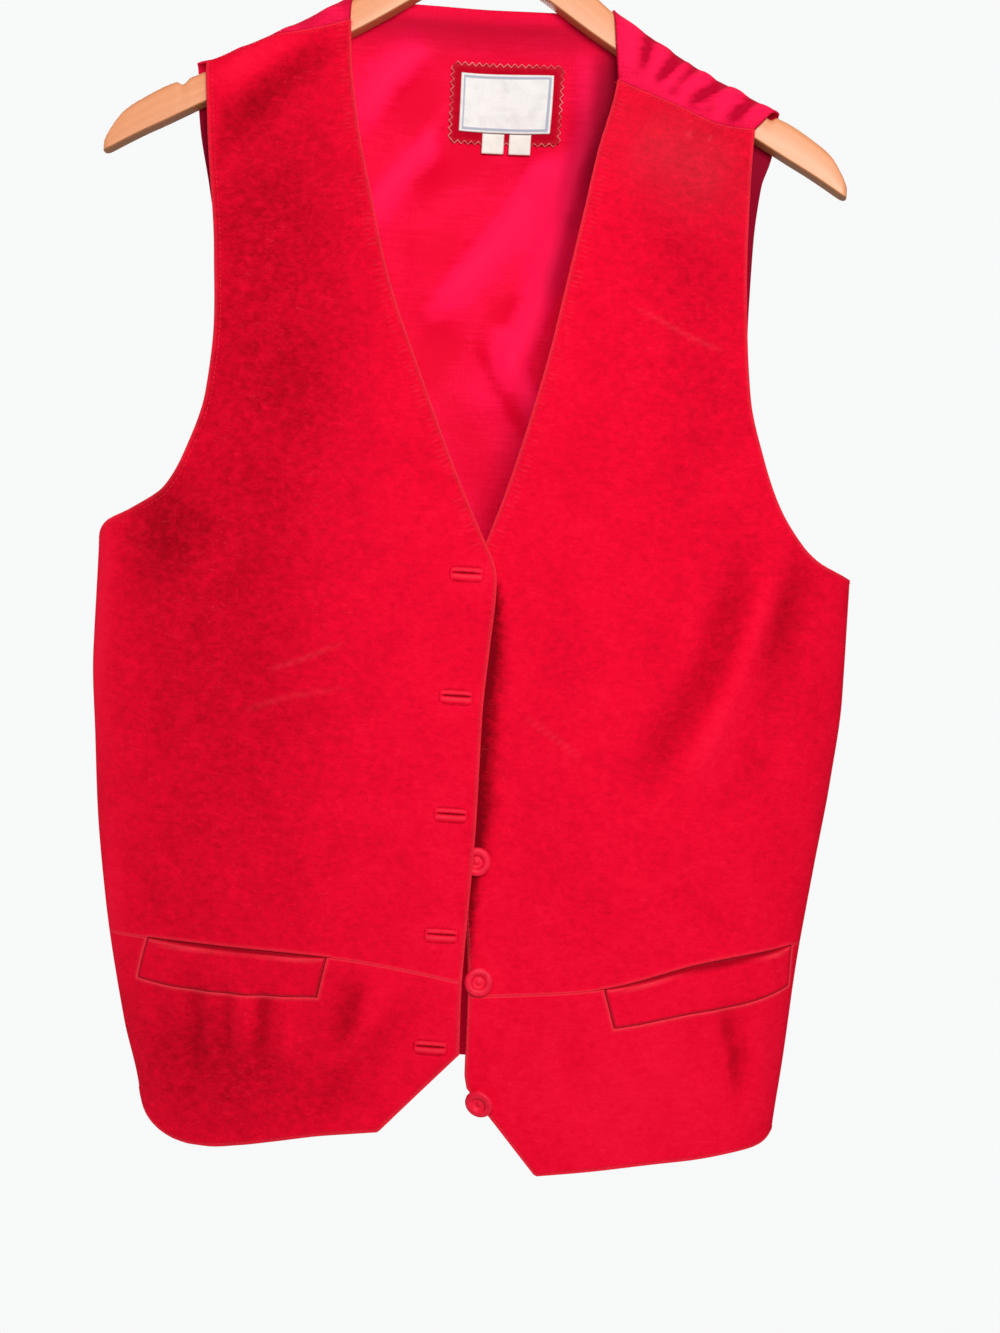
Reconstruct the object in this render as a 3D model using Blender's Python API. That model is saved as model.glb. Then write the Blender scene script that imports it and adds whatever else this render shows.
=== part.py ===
# Suede vest hung on a flat wooden hanger: thin walls of cloth, open at neck, armholes and hem.
# Tables are in millimetres, meshes in metres. +Z is up, the front faces -Y, +X is the wearer's left.
# The origin is the inside top of the hook, where it bears on what holds it up.
import math
from collections import namedtuple

import bmesh
import bpy
from mathutils import Vector

MM = 0.001

# Cloth
SEAM_GAP = 0.3
SUEDE_WALL = 1.6
SATIN_WALL = 1.2
LINING_WALL = 1.0
TAPE_WALL = 1.0

# How the cloth bends over the hanger's arms and falls away from them
RIDGE_RISE = 3.3
RIDGE_RADIUS = 9.0
QUARTER_BEND = RIDGE_RADIUS * math.pi / 2
FALL_START = 14.0
FALL_LENGTH = 150.0

# Loops around the hung body, from the neck down: middle, half width and depth to front and back
Section = namedtuple("Section", "z centre half_width front back")
SECTIONS = (
    Section(-60, 0, 330, 16, 14),
    Section(-180, 0, 300, 30, 24),
    Section(-300, 5, 258, 40, 31),
    Section(-380, 10, 236, 44, 34),
    Section(-451, 14.5, 225.5, 46, 36),
    Section(-524, 15, 225, 47, 36),
    Section(-574, 15.2, 220.8, 47, 36),
    Section(-622, 14.6, 215.4, 46, 35),
    Section(-670, 15.4, 208.8, 44, 34),
    Section(-743, 20.4, 197.8, 41, 32),
    Section(-784, 24.4, 190, 39, 31),
    Section(-830, 26, 186, 38, 30),
)

# Hanger arm, from the middle out to the tip
Arm = namedtuple("Arm", "x top bottom")
ARM = (
    Arm(0, -68, -98),
    Arm(28, -84, -113.5),
    Arm(66, -115, -138),
    Arm(81, -126.5, -147),
    Arm(168, -175.5, -195),
    Arm(186, -183, -205),
    Arm(200, -191.3, -212.5),
    Arm(212, -200.3, -219.5),
    Arm(219.5, -211.5, -224),
    Arm(223, -218.5, -225.5),
)
ARM_END_ROW = 4
HANGER_THICKNESS = 12.0
HANGER_ROUND = 4.0
HANGER_ROUND_SHARE = 0.45
NOTCH_X = 177.5
NOTCH_HALF_WIDTH = 4.0
NOTCH_DEPTH = 4.0

# Wire hook
WIRE_RADIUS = 2.0
HOOK_RADIUS = 22.0
HOOK_FOOT_Z = -56.0
HOOK_FIRST_ANGLE = -60.0
HOOK_LAST_ANGLE = 195.0

# Edges give x at a height, borders give z at a place across
Edge = namedtuple("Edge", "z x")
Border = namedtuple("Border", "x z")
Front = namedtuple("Front", "side armhole neckline front_edge hem cutaway waist seam_drop pocket")
FRONTS = {
    "right": Front(
        side=-1,
        armhole=(
            Edge(-450, -210), Edge(-441, -192), Edge(-427, -172), Edge(-404, -158), Edge(-368, -148),
            Edge(-333, -145.6), Edge(-285, -149.3), Edge(-211, -160.4), Edge(-172, -164),
        ),
        neckline=(
            Edge(-461, 27.6), Edge(-448, 21.5), Edge(-406, 1), Edge(-350, -23.3), Edge(-298, -44.3),
            Edge(-245, -59.3), Edge(-202, -70.4), Edge(-164, -77.2), Edge(-125, -80.4),
        ),
        front_edge=(
            Edge(-744, 25.4), Edge(-704, 25), Edge(-657, 26.4), Edge(-602, 28.4), Edge(-530, 28.4),
            Edge(-461, 27.6),
        ),
        hem=(
            Border(-166, -783), Border(-161, -795), Border(-153, -803), Border(-140, -809),
            Border(-121, -810), Border(-83, -802.3), Border(-50, -795), Border(-19.5, -791.5),
        ),
        cutaway=Border(25.4, -744),
        waist=(
            Border(-200, -690), Border(-160, -690.7), Border(-54, -692.7), Border(-10, -697),
            Border(24, -702),
        ),
        seam_drop=(Border(-164, 7), Border(-124, 8), Border(-80, 16.5)),
        pocket=(-161, -57.5),
    ),
    "left": Front(
        side=1,
        armhole=(
            Edge(-453, 239), Edge(-444.5, 218.5), Edge(-432.5, 204.7), Edge(-413, 191.3), Edge(-387, 180.5),
            Edge(-353, 170.4), Edge(-313, 165.9), Edge(-264, 164), Edge(-190, 165), Edge(-172, 166),
        ),
        neckline=(
            Edge(-489, 8), Edge(-478, 11), Edge(-410, 32.6), Edge(-339, 50), Edge(-300, 57),
            Edge(-249, 65.8), Edge(-211, 72), Edge(-167, 81), Edge(-130, 83),
        ),
        front_edge=(
            Edge(-764, 30.3), Edge(-755, 28.6), Edge(-735, 28.2), Edge(-711, 27.6), Edge(-632, 19.5),
            Edge(-563, 13.4), Edge(-489, 8),
        ),
        hem=(
            Border(214, -781.5), Border(209.5, -787.5), Border(203, -791.8), Border(190, -795.2),
            Border(166, -800), Border(143, -803), Border(110, -807.7), Border(73.4, -813.2),
        ),
        cutaway=Border(30.3, -764),
        waist=(
            Border(230, -668), Border(219.5, -671.7), Border(161.7, -684.2), Border(106.7, -701.2),
            Border(60, -707.5), Border(10, -712),
        ),
        seam_drop=(Border(166, 18.5), Border(146, 26.5), Border(118, 31), Border(82, 40.5)),
        pocket=(216, 106.7),
    ),
}
POCKET_HEIGHT = 23.0
POCKET_MOUTH = 2.2
WELT_LIFT = 0.4

# Back: armholes, neck and hem, and where the shoulder straps start on the ridge
BACK_ARMHOLES = {
    "right": (
        Edge(-450, -210), Edge(-445, -192), Edge(-432, -176), Edge(-405, -163), Edge(-350, -153.5),
        Edge(-290, -152.5), Edge(-240, -160.5), Edge(-203, -168), Edge(-172, -171), Edge(-120, -171),
    ),
    "left": (
        Edge(-453, 239), Edge(-449, 222), Edge(-438, 207), Edge(-415, 192), Edge(-380, 180.5),
        Edge(-340, 174.5), Edge(-290, 171.5), Edge(-252, 171), Edge(-219, 173), Edge(-203, 176.5),
        Edge(-185, 178.6), Edge(-120, 178.6),
    ),
}
NECK_RIDGE_X = {"right": -80.4, "left": 76.8}
NECK_SEAM_X = {"right": -79.8, "left": 81.4}
ARM_SEAM_X = {"right": -163.0, "left": 165.2}
BACK_NECK_Z = -122.0
BACK_HEM_Z = -755.0
BACK_HEM_DROP = 25.0
BACK_HEM_CENTRE = 22.0
BACK_HEM_HALF = 190.0
SHOULDER_GATHERS = 6
GATHER_HEIGHT = 2.4
NECK_CORNER = 13.0

# Largest folds: a soft ridge or trough from one place to another, depth below zero for a trough
Fold = namedtuple("Fold", "panel x0 z0 x1 z1 width depth")
FOLDS = (
    Fold("left", 203, -447, 195, -505, 20, -4.0),
    Fold("left", 186, -462, 158, -545, 20, 3.0),
    Fold("left", 172, -458, 125, -575, 26, -6.0),
    Fold("left", 178, -714, 190, -756, 18, -4.0),
    Fold("right", -132, -722, -131, -750, 16, -3.0),
    Fold("right", -92, -722, -95, -765, 18, 3.0),
    Fold("right", -49, -706, -48, -752, 18, -4.0),
    Fold("right", -150, -215, -95, -178, 18, -2.0),
    Fold("back", -62, -215, -80, -430, 26, -4.0),
    Fold("back", 70, -205, 96, -450, 28, -4.5),
    Fold("back", 14, -380, 20, -730, 30, 4.0),
    Fold("back", -120, -480, -95, -700, 26, -3.5),
    Fold("back", 140, -500, 118, -720, 26, -3.0),
)

# The left front tucks under the right one, so that its buttons fit between them
TUCK_DEPTH = 7.0
TUCK_LOW_DEPTH = 3.0
TUCK_FLAT = 24.0
TUCK_FADE = 78.0
TUCK_TOP = (-340, -450)
TUCK_BOTTOM = (-650, -720)

# Buttons and bound buttonholes, from the top down
BUTTON_PLACES = (
    Border(16.5, -494.6), Border(18.5, -563), Border(27.8, -631.7), Border(33.6, -701.4),
    Border(38.7, -770.8),
)
BUTTONHOLE_PLACES = (
    Border(12.3, -466), Border(11.6, -537), Border(11.3, -605), Border(10.2, -675), Border(8, -740.5),
)
BUTTON_SEAT_GAP = 0.4
BUTTON_SIDES = 20
Turned = namedtuple("Turned", "radius height")
BUTTON_PROFILE = (
    Turned(0, 1.7), Turned(3.1, 1.8), Turned(4.2, 2.6), Turned(5.4, 3.5), Turned(6.5, 3.6),
    Turned(7.5, 2.7), Turned(7.8, 1.6), Turned(6.2, 0.3), Turned(3.5, 0), Turned(0, 0),
)
HOLE_LENGTH = 20.0
Lip = namedtuple("Lip", "across height")
LIP_PROFILE = (
    Lip(-4.2, 1.3), Lip(-3.2, 1.8), Lip(-1.6, 1.8), Lip(-0.5, 1.4), Lip(0, 1.0),
    Lip(0.5, 1.4), Lip(1.6, 1.8), Lip(3.2, 1.8), Lip(4.2, 1.3),
)
LIP_COLUMNS = 3

# Neck label, on the lining
Patch = namedtuple("Patch", "name x z width height layer material")
PATCHES = (
    Patch("label_patch", 15.5, -176.7, 68, 46, 0, "suede_dark"),
    Patch("label", 15.5, -176.2, 57, 34, 1, "tape"),
    Patch("size_tag", 8.3, -199.5, 14, 12, 1, "tape"),
    Patch("care_tag", 24.4, -199.5, 14, 12, 1, "tape"),
)
PATCH_CELL = 12.0
PATCH_SEAT_GAP = 0.5

# How finely the pieces are cut: equal rows below the armpit, then rows that grow towards the shoulder
FRONT_COLUMNS = 14
FRONT_ROWS = 9
FRONT_CHEST_ROWS = 12
FRONT_CHEST_EASE = 1.5
LowerSteps = namedtuple("LowerSteps", "side pocket hem cutaway")
LOWER_STEPS = {"right": LowerSteps(5, 6, 2, 3), "left": LowerSteps(1, 9, 2, 3)}
LOWER_ROWS = 6
BACK_ROWS = 9
BACK_CHEST_ROWS = 11
BACK_CHEST_EASE = 1.4
BEND_ROWS = 4
STRAP_FALL_ROWS = 2
STRAP_BEND_SHARE = 0.85
STRAP_ROWS = BEND_ROWS + STRAP_FALL_ROWS
STRAP_STEPS = {"right": 6, "left": 2 * SHOULDER_GATHERS}
CORNER_STEPS = 4
NECK_STEPS = 8
ARM_STEP = 16.0
ARM_STEPS = 10
NOTCH_SHARES = (-1, -0.6, 0.6, 1)
HOOK_BEND_STEPS = 7
HOOK_STEPS = 30
HOOK_BEND_PULL = 0.4

# Rounds and steps of the sums below
EDGE_ROUNDS = 12
BORDER_ROUNDS = 6
ANGLE_STEP = 0.004
LENGTH_STEP = 0.5
FOLD_SHARPNESS = 2

# Name: base colour, roughness, metallic
FINISHES = {
    "suede": ((0.72, 0.004, 0.024), 0.9, 0.0),
    "suede_dark": ((0.40, 0.006, 0.02), 0.9, 0.0),
    "satin": ((0.80, 0.005, 0.045), 0.38, 0.0),
    "plastic": ((0.62, 0.006, 0.03), 0.3, 0.0),
    "tape": ((0.88, 0.85, 0.80), 0.6, 0.0),
    "wood": ((0.82, 0.50, 0.29), 0.45, 0.0),
    "steel": ((0.62, 0.62, 0.63), 0.28, 1.0),
}


def lerp(a, b, share):
    return a + (b - a) * share


def smooth_step(start, end, value):
    share = min(1.0, max(0.0, (value - start) / (end - start)))
    return share * share * (3 - 2 * share)


class Curve:
    """A smooth curve through the rows of a table, one column read from another."""

    def __init__(self, rows, key, value):
        rows = sorted(rows, key=lambda row: getattr(row, key))
        self.keys = [float(getattr(row, key)) for row in rows]
        self.values = [float(getattr(row, value)) for row in rows]
        steps = list(zip(self.keys, self.keys[1:], self.values, self.values[1:]))
        slopes = [(d - c) / (b - a) for a, b, c, d in steps]
        self.tangents = [slopes[0]]
        for before, after in zip(slopes, slopes[1:]):
            same_way = before * after > 0
            self.tangents.append(2 * before * after / (before + after) if same_way else 0.0)
        self.tangents.append(slopes[-1])

    def __call__(self, key):
        last = len(self.keys) - 1
        if key <= self.keys[0]:
            return self.values[0] + self.tangents[0] * (key - self.keys[0])
        if key >= self.keys[last]:
            return self.values[last] + self.tangents[last] * (key - self.keys[last])
        k = next(i for i in range(last) if key <= self.keys[i + 1])
        step = self.keys[k + 1] - self.keys[k]
        t = (key - self.keys[k]) / step
        a, b = self.values[k], self.values[k + 1]
        m, n = self.tangents[k] * step, self.tangents[k + 1] * step
        return (a * (1 + 2 * t) + m * t) * (1 - t) ** 2 + (b * (3 - 2 * t) + n * (t - 1)) * t * t


ARM_BOTH = ARM + tuple(Arm(-row.x, row.top, row.bottom) for row in ARM[1:])
arm_top = Curve(ARM_BOTH, "x", "top")
arm_bottom = Curve(ARM_BOTH, "x", "bottom")
loop_centre = Curve(SECTIONS, "z", "centre")
loop_half_width = Curve(SECTIONS, "z", "half_width")
LOOP_DEPTH = {-1: Curve(SECTIONS, "z", "front"), 1: Curve(SECTIONS, "z", "back")}


def ridge(x):
    return arm_top(x) + RIDGE_RISE


def across(angle, z):
    return loop_centre(z) + loop_half_width(z) * math.cos(angle)


def angle_at(x, z):
    share = (x - loop_centre(z)) / loop_half_width(z)
    return math.acos(min(1.0, max(-1.0, share)))


def side_angle(side):
    """Angle of the side seam: 0 at +X, half a turn at -X."""
    return 0.0 if side > 0 else math.pi


def seam_angle(side, face, z):
    """The cut edge beside the side seam, half the seam gap from it."""
    offset = SEAM_GAP / 2 / LOOP_DEPTH[face](z)
    return offset if side > 0 else math.pi - offset


def fold_height(panel, x, z):
    total = 0.0
    for fold in FOLDS:
        if fold.panel != panel:
            continue
        run = Vector((fold.x1 - fold.x0, fold.z1 - fold.z0))
        from_start = Vector((x - fold.x0, z - fold.z0))
        share = min(1.0, max(0.0, from_start.dot(run) / run.length_squared))
        distance = (from_start - run * share).length
        total += fold.depth * math.exp(-FOLD_SHARPNESS * (distance / fold.width) ** 2)
    return total


class FrontShape:
    """The edges of one front and its outer surface."""

    def __init__(self, name):
        row = FRONTS[name]
        self.name = name
        self.side = row.side
        self.pocket = row.pocket
        self.cutaway = row.cutaway
        self.armpit = row.armhole[0].z
        self.break_z = row.neckline[0].z
        self.point = row.hem[-1]
        self.armhole = Curve(row.armhole, "z", "x")
        self.neckline = Curve(row.neckline, "z", "x")
        self.front_edge = Curve(row.front_edge, "z", "x")
        self.hem_curve = Curve(row.hem, "x", "z")
        self.waist = Curve(row.waist, "x", "z")
        self.seam_drop = Curve(row.seam_drop, "x", "z")

    def outer(self, z):
        if z <= self.armpit:
            return across(seam_angle(self.side, -1, z), z)
        return self.armhole(z)

    def inner(self, z):
        return self.front_edge(z) if z <= self.break_z else self.neckline(z)

    def hem(self, x):
        if (x - self.point.x) * self.side >= 0:
            return self.hem_curve(x)
        share = (x - self.point.x) / (self.cutaway.x - self.point.x)
        return lerp(self.point.z, self.cutaway.z, share)

    def shoulder_seam(self, x):
        return ridge(x) - self.seam_drop(x)

    def tuck(self, x, z):
        if self.side < 0:
            return 0.0
        depth = TUCK_DEPTH * smooth_step(*TUCK_TOP, z)
        depth += (TUCK_LOW_DEPTH - TUCK_DEPTH) * smooth_step(*TUCK_BOTTOM, z)
        return depth * (1 - smooth_step(TUCK_FLAT, TUCK_FADE, x - self.inner(z)))

    def place(self, angle, z):
        x = across(angle, z)
        relief = fold_height(self.name, x, z) - self.tuck(x, z)
        return Vector((x, -fall(x, z, angle, -1) - relief, z))


def fall(x, z, angle, face):
    """Depth of the hung cloth: close to the hanger at the ridge, out to the full loop below it."""
    below = ridge(x) - z
    share = smooth_step(FALL_START, FALL_START + FALL_LENGTH, below)
    return lerp(RIDGE_RADIUS, LOOP_DEPTH[face](z) * math.sin(angle), share)


def back_place(angle, z):
    x = across(angle, z)
    return Vector((x, fall(x, z, angle, 1) + fold_height("back", x, z), z))


def normal_of(place, a, b, step_a, step_b, face):
    """Outward direction of a surface given by two numbers."""
    along_a = place(a + step_a, b) - place(a - step_a, b)
    along_b = place(a, b + step_b) - place(a, b - step_b)
    normal = along_a.cross(along_b).normalized()
    return normal if normal.y * face >= 0 else -normal


def surface_point(place, angle, z, face):
    return place(angle, z), normal_of(place, angle, z, ANGLE_STEP, LENGTH_STEP, face)


def stations(*marks):
    """Shares from 0, with a number of equal steps up to each mark: (mark, steps), ..."""
    shares = [0.0]
    for mark, steps in marks:
        start = shares[-1]
        shares += [lerp(start, mark, (k + 1) / steps) for k in range(steps)]
    return shares


def eased_stations(first_mark, first_steps, steps, power):
    """Equal steps up to a mark, then steps that grow away from it."""
    shares = stations((first_mark, first_steps))
    return shares + [lerp(first_mark, 1.0, ((k + 1) / steps) ** power) for k in range(steps)]


def meeting(edge, border, z):
    """Height at which an edge meets a border."""
    for _ in range(EDGE_ROUNDS):
        z = border(edge(z))
    return z


def border_height(border, ends, angles, share):
    """Height of a border at a share of the way between its two ends."""
    z = lerp(ends[0], ends[1], share)
    angle = lerp(angles[0], angles[1], share)
    for _ in range(BORDER_ROUNDS):
        z = border(across(angle, z))
    return z


class Panel:
    """A panel between two edges and two borders, read by a share across and a share up."""

    def __init__(self, outer, inner, bottom, top, start, end):
        self.edges = (outer, inner)
        self.borders = (bottom, top)
        self.ends = [[meeting(edge, border, z) for edge in self.edges]
                     for border, z in ((bottom, start), (top, end))]
        self.angles = [[angle_at(edge(z), z) for edge, z in zip(self.edges, row)] for row in self.ends]

    def at(self, share, up):
        heights = [border_height(border, ends, angles, share)
                   for border, ends, angles in zip(self.borders, self.ends, self.angles)]
        z = lerp(heights[0], heights[1], up)
        levels = [lerp(self.ends[0][k], self.ends[1][k], up) for k in (0, 1)]
        angles = [angle_at(edge(level), level) for edge, level in zip(self.edges, levels)]
        return lerp(angles[0], angles[1], share), z


def material(name):
    made = bpy.data.materials.get(name)
    if made:
        return made
    made = bpy.data.materials.new(name)
    made.use_nodes = True
    colour, roughness, metallic = FINISHES[name]
    shader = made.node_tree.nodes["Principled BSDF"]
    shader.inputs["Base Color"].default_value = (*colour, 1.0)
    shader.inputs["Roughness"].default_value = roughness
    shader.inputs["Metallic"].default_value = metallic
    return made


def add_object(name, bm, finish, sharp_angle=35):
    bmesh.ops.recalc_face_normals(bm, faces=bm.faces)
    mesh = bpy.data.meshes.new(name)
    bm.to_mesh(mesh)
    bm.free()
    mesh.materials.append(material(finish))
    mesh.shade_smooth()
    mesh.set_sharp_from_angle(angle=math.radians(sharp_angle))
    made = bpy.data.objects.new(name, mesh)
    bpy.context.collection.objects.link(made)
    return made


def cloth(name, points, cells, lifts, finish):
    """A closed wall on a grid of (place, normal): lifts gives the outer and inner height at a grid key."""
    bm = bmesh.new()
    used = sorted({key for cell in cells for key in cell}, key=str)
    layers = []
    for layer in (0, 1):
        layers.append({key: bm.verts.new((points[key][0] + points[key][1] * lifts(key)[layer]) * MM)
                       for key in used})
    sides = {}
    for a, b, c, d in cells:
        for layer in layers:
            bm.faces.new((layer[a], layer[b], layer[c]))
            bm.faces.new((layer[a], layer[c], layer[d]))
        for pair in ((a, b), (b, c), (c, d), (d, a)):
            sides.setdefault(frozenset(pair), []).append(pair)
    outer, inner = layers
    for pairs in sides.values():
        if len(pairs) == 1:
            a, b = pairs[0]
            bm.faces.new((outer[a], outer[b], inner[b]))
            bm.faces.new((outer[a], inner[b], inner[a]))
    return add_object(name, bm, finish)


def grid_cells(columns, rows, keep=lambda i, j: True):
    return [((i, j), (i + 1, j), (i + 1, j + 1), (i, j + 1))
            for i in range(columns) for j in range(rows) if keep(i, j)]


def flat_lifts(outer, thickness):
    return lambda key: (outer, outer - thickness)


def panel_points(panel, place, shares, ups, face=-1):
    points = {}
    for i, share in enumerate(shares):
        for j, up in enumerate(ups):
            points[i, j] = surface_point(place, *panel.at(share, up), face)
    return points


def front_share(front, x, z):
    """How far across a front a place lies, from its side seam."""
    start = side_angle(front.side)
    return (angle_at(x, z) - start) / (angle_at(front.inner(z), z) - start)


def build_front_upper(front):
    def bottom(x):
        return front.waist(x) + SEAM_GAP / 2

    def top(x):
        return front.shoulder_seam(x) - SEAM_GAP

    panel = Panel(front.outer, front.inner, bottom, top, front.waist(0), top(front.armhole(ridge(0))))
    foot, head = panel.ends[0][0], panel.ends[1][0]
    shares = stations((1.0, FRONT_COLUMNS))
    armpit = (front.armpit - foot) / (head - foot)
    ups = eased_stations(armpit, FRONT_ROWS, FRONT_CHEST_ROWS, FRONT_CHEST_EASE)
    points = panel_points(panel, front.place, shares, ups)
    cells = grid_cells(len(shares) - 1, len(ups) - 1)
    cloth(f"front_{front.name}_upper", points, cells, flat_lifts(0, SUEDE_WALL), "suede")


def build_front_lower(front):
    def under_waist(drop):
        return lambda x: front.waist(x) - drop

    top = under_waist(SEAM_GAP / 2)
    pocket_foot = under_waist(POCKET_HEIGHT)
    low = Panel(front.outer, front.inner, front.hem, pocket_foot, front.cutaway.z, pocket_foot(0))
    high = Panel(front.outer, front.inner, pocket_foot, top, pocket_foot(0), top(0))
    pocket = [front_share(front, x, front.waist(x)) for x in front.pocket]
    point = front_share(front, front.point.x, front.point.z)
    steps = LOWER_STEPS[front.name]
    shares = stations(*zip((pocket[0], pocket[1], point, 1.0), steps))
    low_ups = stations((1.0, LOWER_ROWS))
    points = panel_points(low, front.place, shares, low_ups)
    window_row = len(low_ups) - 1
    for (i, j), point_here in panel_points(high, front.place, shares, (0.0, 1.0)).items():
        if j == 1:
            points[i, window_row + 1] = point_here
    first, last = steps.side, steps.side + steps.pocket

    def keep(i, j):
        return j < window_row or not first <= i < last

    cells = grid_cells(len(shares) - 1, window_row + 1, keep)
    cloth(f"front_{front.name}_lower", points, cells, flat_lifts(0, SUEDE_WALL), "suede")
    build_welt(front, high, shares[first:last + 1])


def build_welt(front, window, shares):
    """The pocket's welt fills its window, with the mouth left open above it."""
    width = abs(front.pocket[0] - front.pocket[1])
    inset = SEAM_GAP / width * (shares[-1] - shares[0])
    shares = [shares[0] + inset, *shares[1:-1], shares[-1] - inset]
    ups = (SEAM_GAP / POCKET_HEIGHT, 0.5, 1 - POCKET_MOUTH / POCKET_HEIGHT)
    points = panel_points(window, front.place, shares, ups)
    cells = grid_cells(len(shares) - 1, len(ups) - 1)
    cloth(f"pocket_welt_{front.name}", points, cells, flat_lifts(WELT_LIFT, SUEDE_WALL), "suede")


def bend_run(below):
    """Length along the cloth from the ridge to a depth below it."""
    if below <= 0:
        return 0.0
    if below >= RIDGE_RADIUS:
        return QUARTER_BEND + below - RIDGE_RADIUS
    return RIDGE_RADIUS * math.acos(1 - below / RIDGE_RADIUS)


def over_ridge(x, run):
    """A place on the shoulder strap: run is the length from the ridge, back above zero and front below."""
    if abs(run) <= QUARTER_BEND:
        bend = run / RIDGE_RADIUS
        height = ridge(x) - RIDGE_RADIUS * (1 - math.cos(bend))
        return Vector((x, RIDGE_RADIUS * math.sin(bend), height))
    z = ridge(x) - RIDGE_RADIUS - abs(run) + QUARTER_BEND
    face = 1 if run > 0 else -1
    return Vector((x, face * fall(x, z, angle_at(x, z), face), z))


def bend_normal(place, x, run):
    normal = normal_of(place, x, run, LENGTH_STEP, LENGTH_STEP, 0)
    outside = place(x, run) - Vector((x, 0, ridge(x) - RIDGE_RADIUS))
    return normal if normal.dot(outside) >= 0 else -normal


def back_edge(name):
    armhole = Curve(BACK_ARMHOLES[name], "z", "x")
    side = FRONTS[name].side
    armpit = BACK_ARMHOLES[name][0].z

    def edge(z):
        return across(seam_angle(side, 1, z), z) if z <= armpit else armhole(z)

    return edge


def back_hem(x):
    return BACK_HEM_Z - BACK_HEM_DROP * ((x - BACK_HEM_CENTRE) / BACK_HEM_HALF) ** 2


def back_top_run(x):
    """The back ends on the ridge in the straps, and at the neck edge between them."""
    return bend_run(ridge(x) - BACK_NECK_Z)


def under_bend(x):
    return ridge(x) - RIDGE_RADIUS - back_top_run(x)


def build_back():
    edges = back_edge("right"), back_edge("left")
    panel = Panel(*edges, back_hem, under_bend, BACK_HEM_Z, under_bend(ARM_SEAM_X["left"]))
    shares = stations(*back_marks(panel))
    foot, head = panel.ends[0][0], panel.ends[1][0]
    armpit = (BACK_ARMHOLES["right"][0].z - foot) / (head - foot)
    ups = eased_stations(armpit, BACK_ROWS, BACK_CHEST_ROWS, BACK_CHEST_EASE)
    points = panel_points(panel, back_place, shares, ups, face=1)
    cells = grid_cells(len(shares) - 1, len(ups) - 1)
    build_lining(points, cells)
    last = len(ups) - 1
    top_x = [points[i, last][0].x for i in range(len(shares))]
    for i, x in enumerate(top_x):
        for k in range(1, BEND_ROWS + 1):
            run = back_top_run(x) + QUARTER_BEND * (1 - k / BEND_ROWS)
            points[i, last + k] = (over_ridge(x, run), bend_normal(over_ridge, x, run))
    cells = grid_cells(len(shares) - 1, last + BEND_ROWS)
    first_left = STRAP_STEPS["right"] + NECK_STEPS + 2 * CORNER_STEPS
    for name, first in (("right", 0), ("left", first_left)):
        cells += add_strap(points, name, first, last + BEND_ROWS, top_x)
    cloth("back", points, cells, flat_lifts(0, SATIN_WALL), "satin")


def back_marks(panel):
    """Shares across the back at the straps' ends on the ridge and at the corners of the neck edge."""
    first, last = panel.angles[1]
    right, left = NECK_RIDGE_X["right"], NECK_RIDGE_X["left"]
    places = (right, right + NECK_CORNER, left - NECK_CORNER, left)
    shares = [(angle_at(x, BACK_NECK_Z) - first) / (last - first) for x in places]
    steps = (STRAP_STEPS["right"], CORNER_STEPS, NECK_STEPS, CORNER_STEPS)
    return *zip(shares, steps), (1.0, STRAP_STEPS["left"])


def add_strap(points, name, first, row, top_x):
    """Carries one shoulder strap from the ridge down to the front shoulder seam."""
    front = SHAPES[name]
    steps = STRAP_STEPS[name]
    for k in range(steps + 1):
        share = k / steps
        to_arm = 1 - share if name == "right" else share
        seam_x = lerp(NECK_SEAM_X[name], ARM_SEAM_X[name], to_arm)
        seam_run = bend_run(front.seam_drop(seam_x))
        shift = seam_x - top_x[first + k]
        crest = GATHER_HEIGHT if name == "left" and k % 2 else 0.0
        bend = min(QUARTER_BEND, seam_run * STRAP_BEND_SHARE)
        runs = [bend * (j + 1) / BEND_ROWS for j in range(BEND_ROWS)]
        runs += [lerp(bend, seam_run, (j + 1) / STRAP_FALL_ROWS) for j in range(STRAP_FALL_ROWS)]
        for j, run in enumerate(runs, 1):
            down = run / seam_run
            x = top_x[first + k] + shift * down
            normal = bend_normal(over_ridge, x, -run)
            lift = crest * math.sin(math.pi * down) ** 2
            points[first + k, row + j] = (over_ridge(x, -run) + normal * lift, normal)
    return [tuple((first + i, row + j) for i, j in cell) for cell in grid_cells(steps, STRAP_ROWS)]


def build_lining(points, cells):
    outer = -SATIN_WALL - SEAM_GAP
    cloth("back_lining", dict(points), cells, flat_lifts(outer, LINING_WALL), "satin")


def build_patch(patch):
    """A flat piece sewn on the inside of the lining."""
    columns = max(1, round(patch.width / PATCH_CELL))
    rows = max(1, round(patch.height / PATCH_CELL))
    points = {}
    for i in range(columns + 1):
        for j in range(rows + 1):
            x = patch.x + patch.width * (i / columns - 0.5)
            z = patch.z + patch.height * (j / rows - 0.5)
            points[i, j] = surface_point(back_place, angle_at(x, z), z, 1)
    lining_inside = -SATIN_WALL - SEAM_GAP - LINING_WALL
    seat = lining_inside - PATCH_SEAT_GAP - patch.layer * (TAPE_WALL + SEAM_GAP)
    cloth(patch.name, points, grid_cells(columns, rows), flat_lifts(seat, TAPE_WALL), patch.material)


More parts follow.
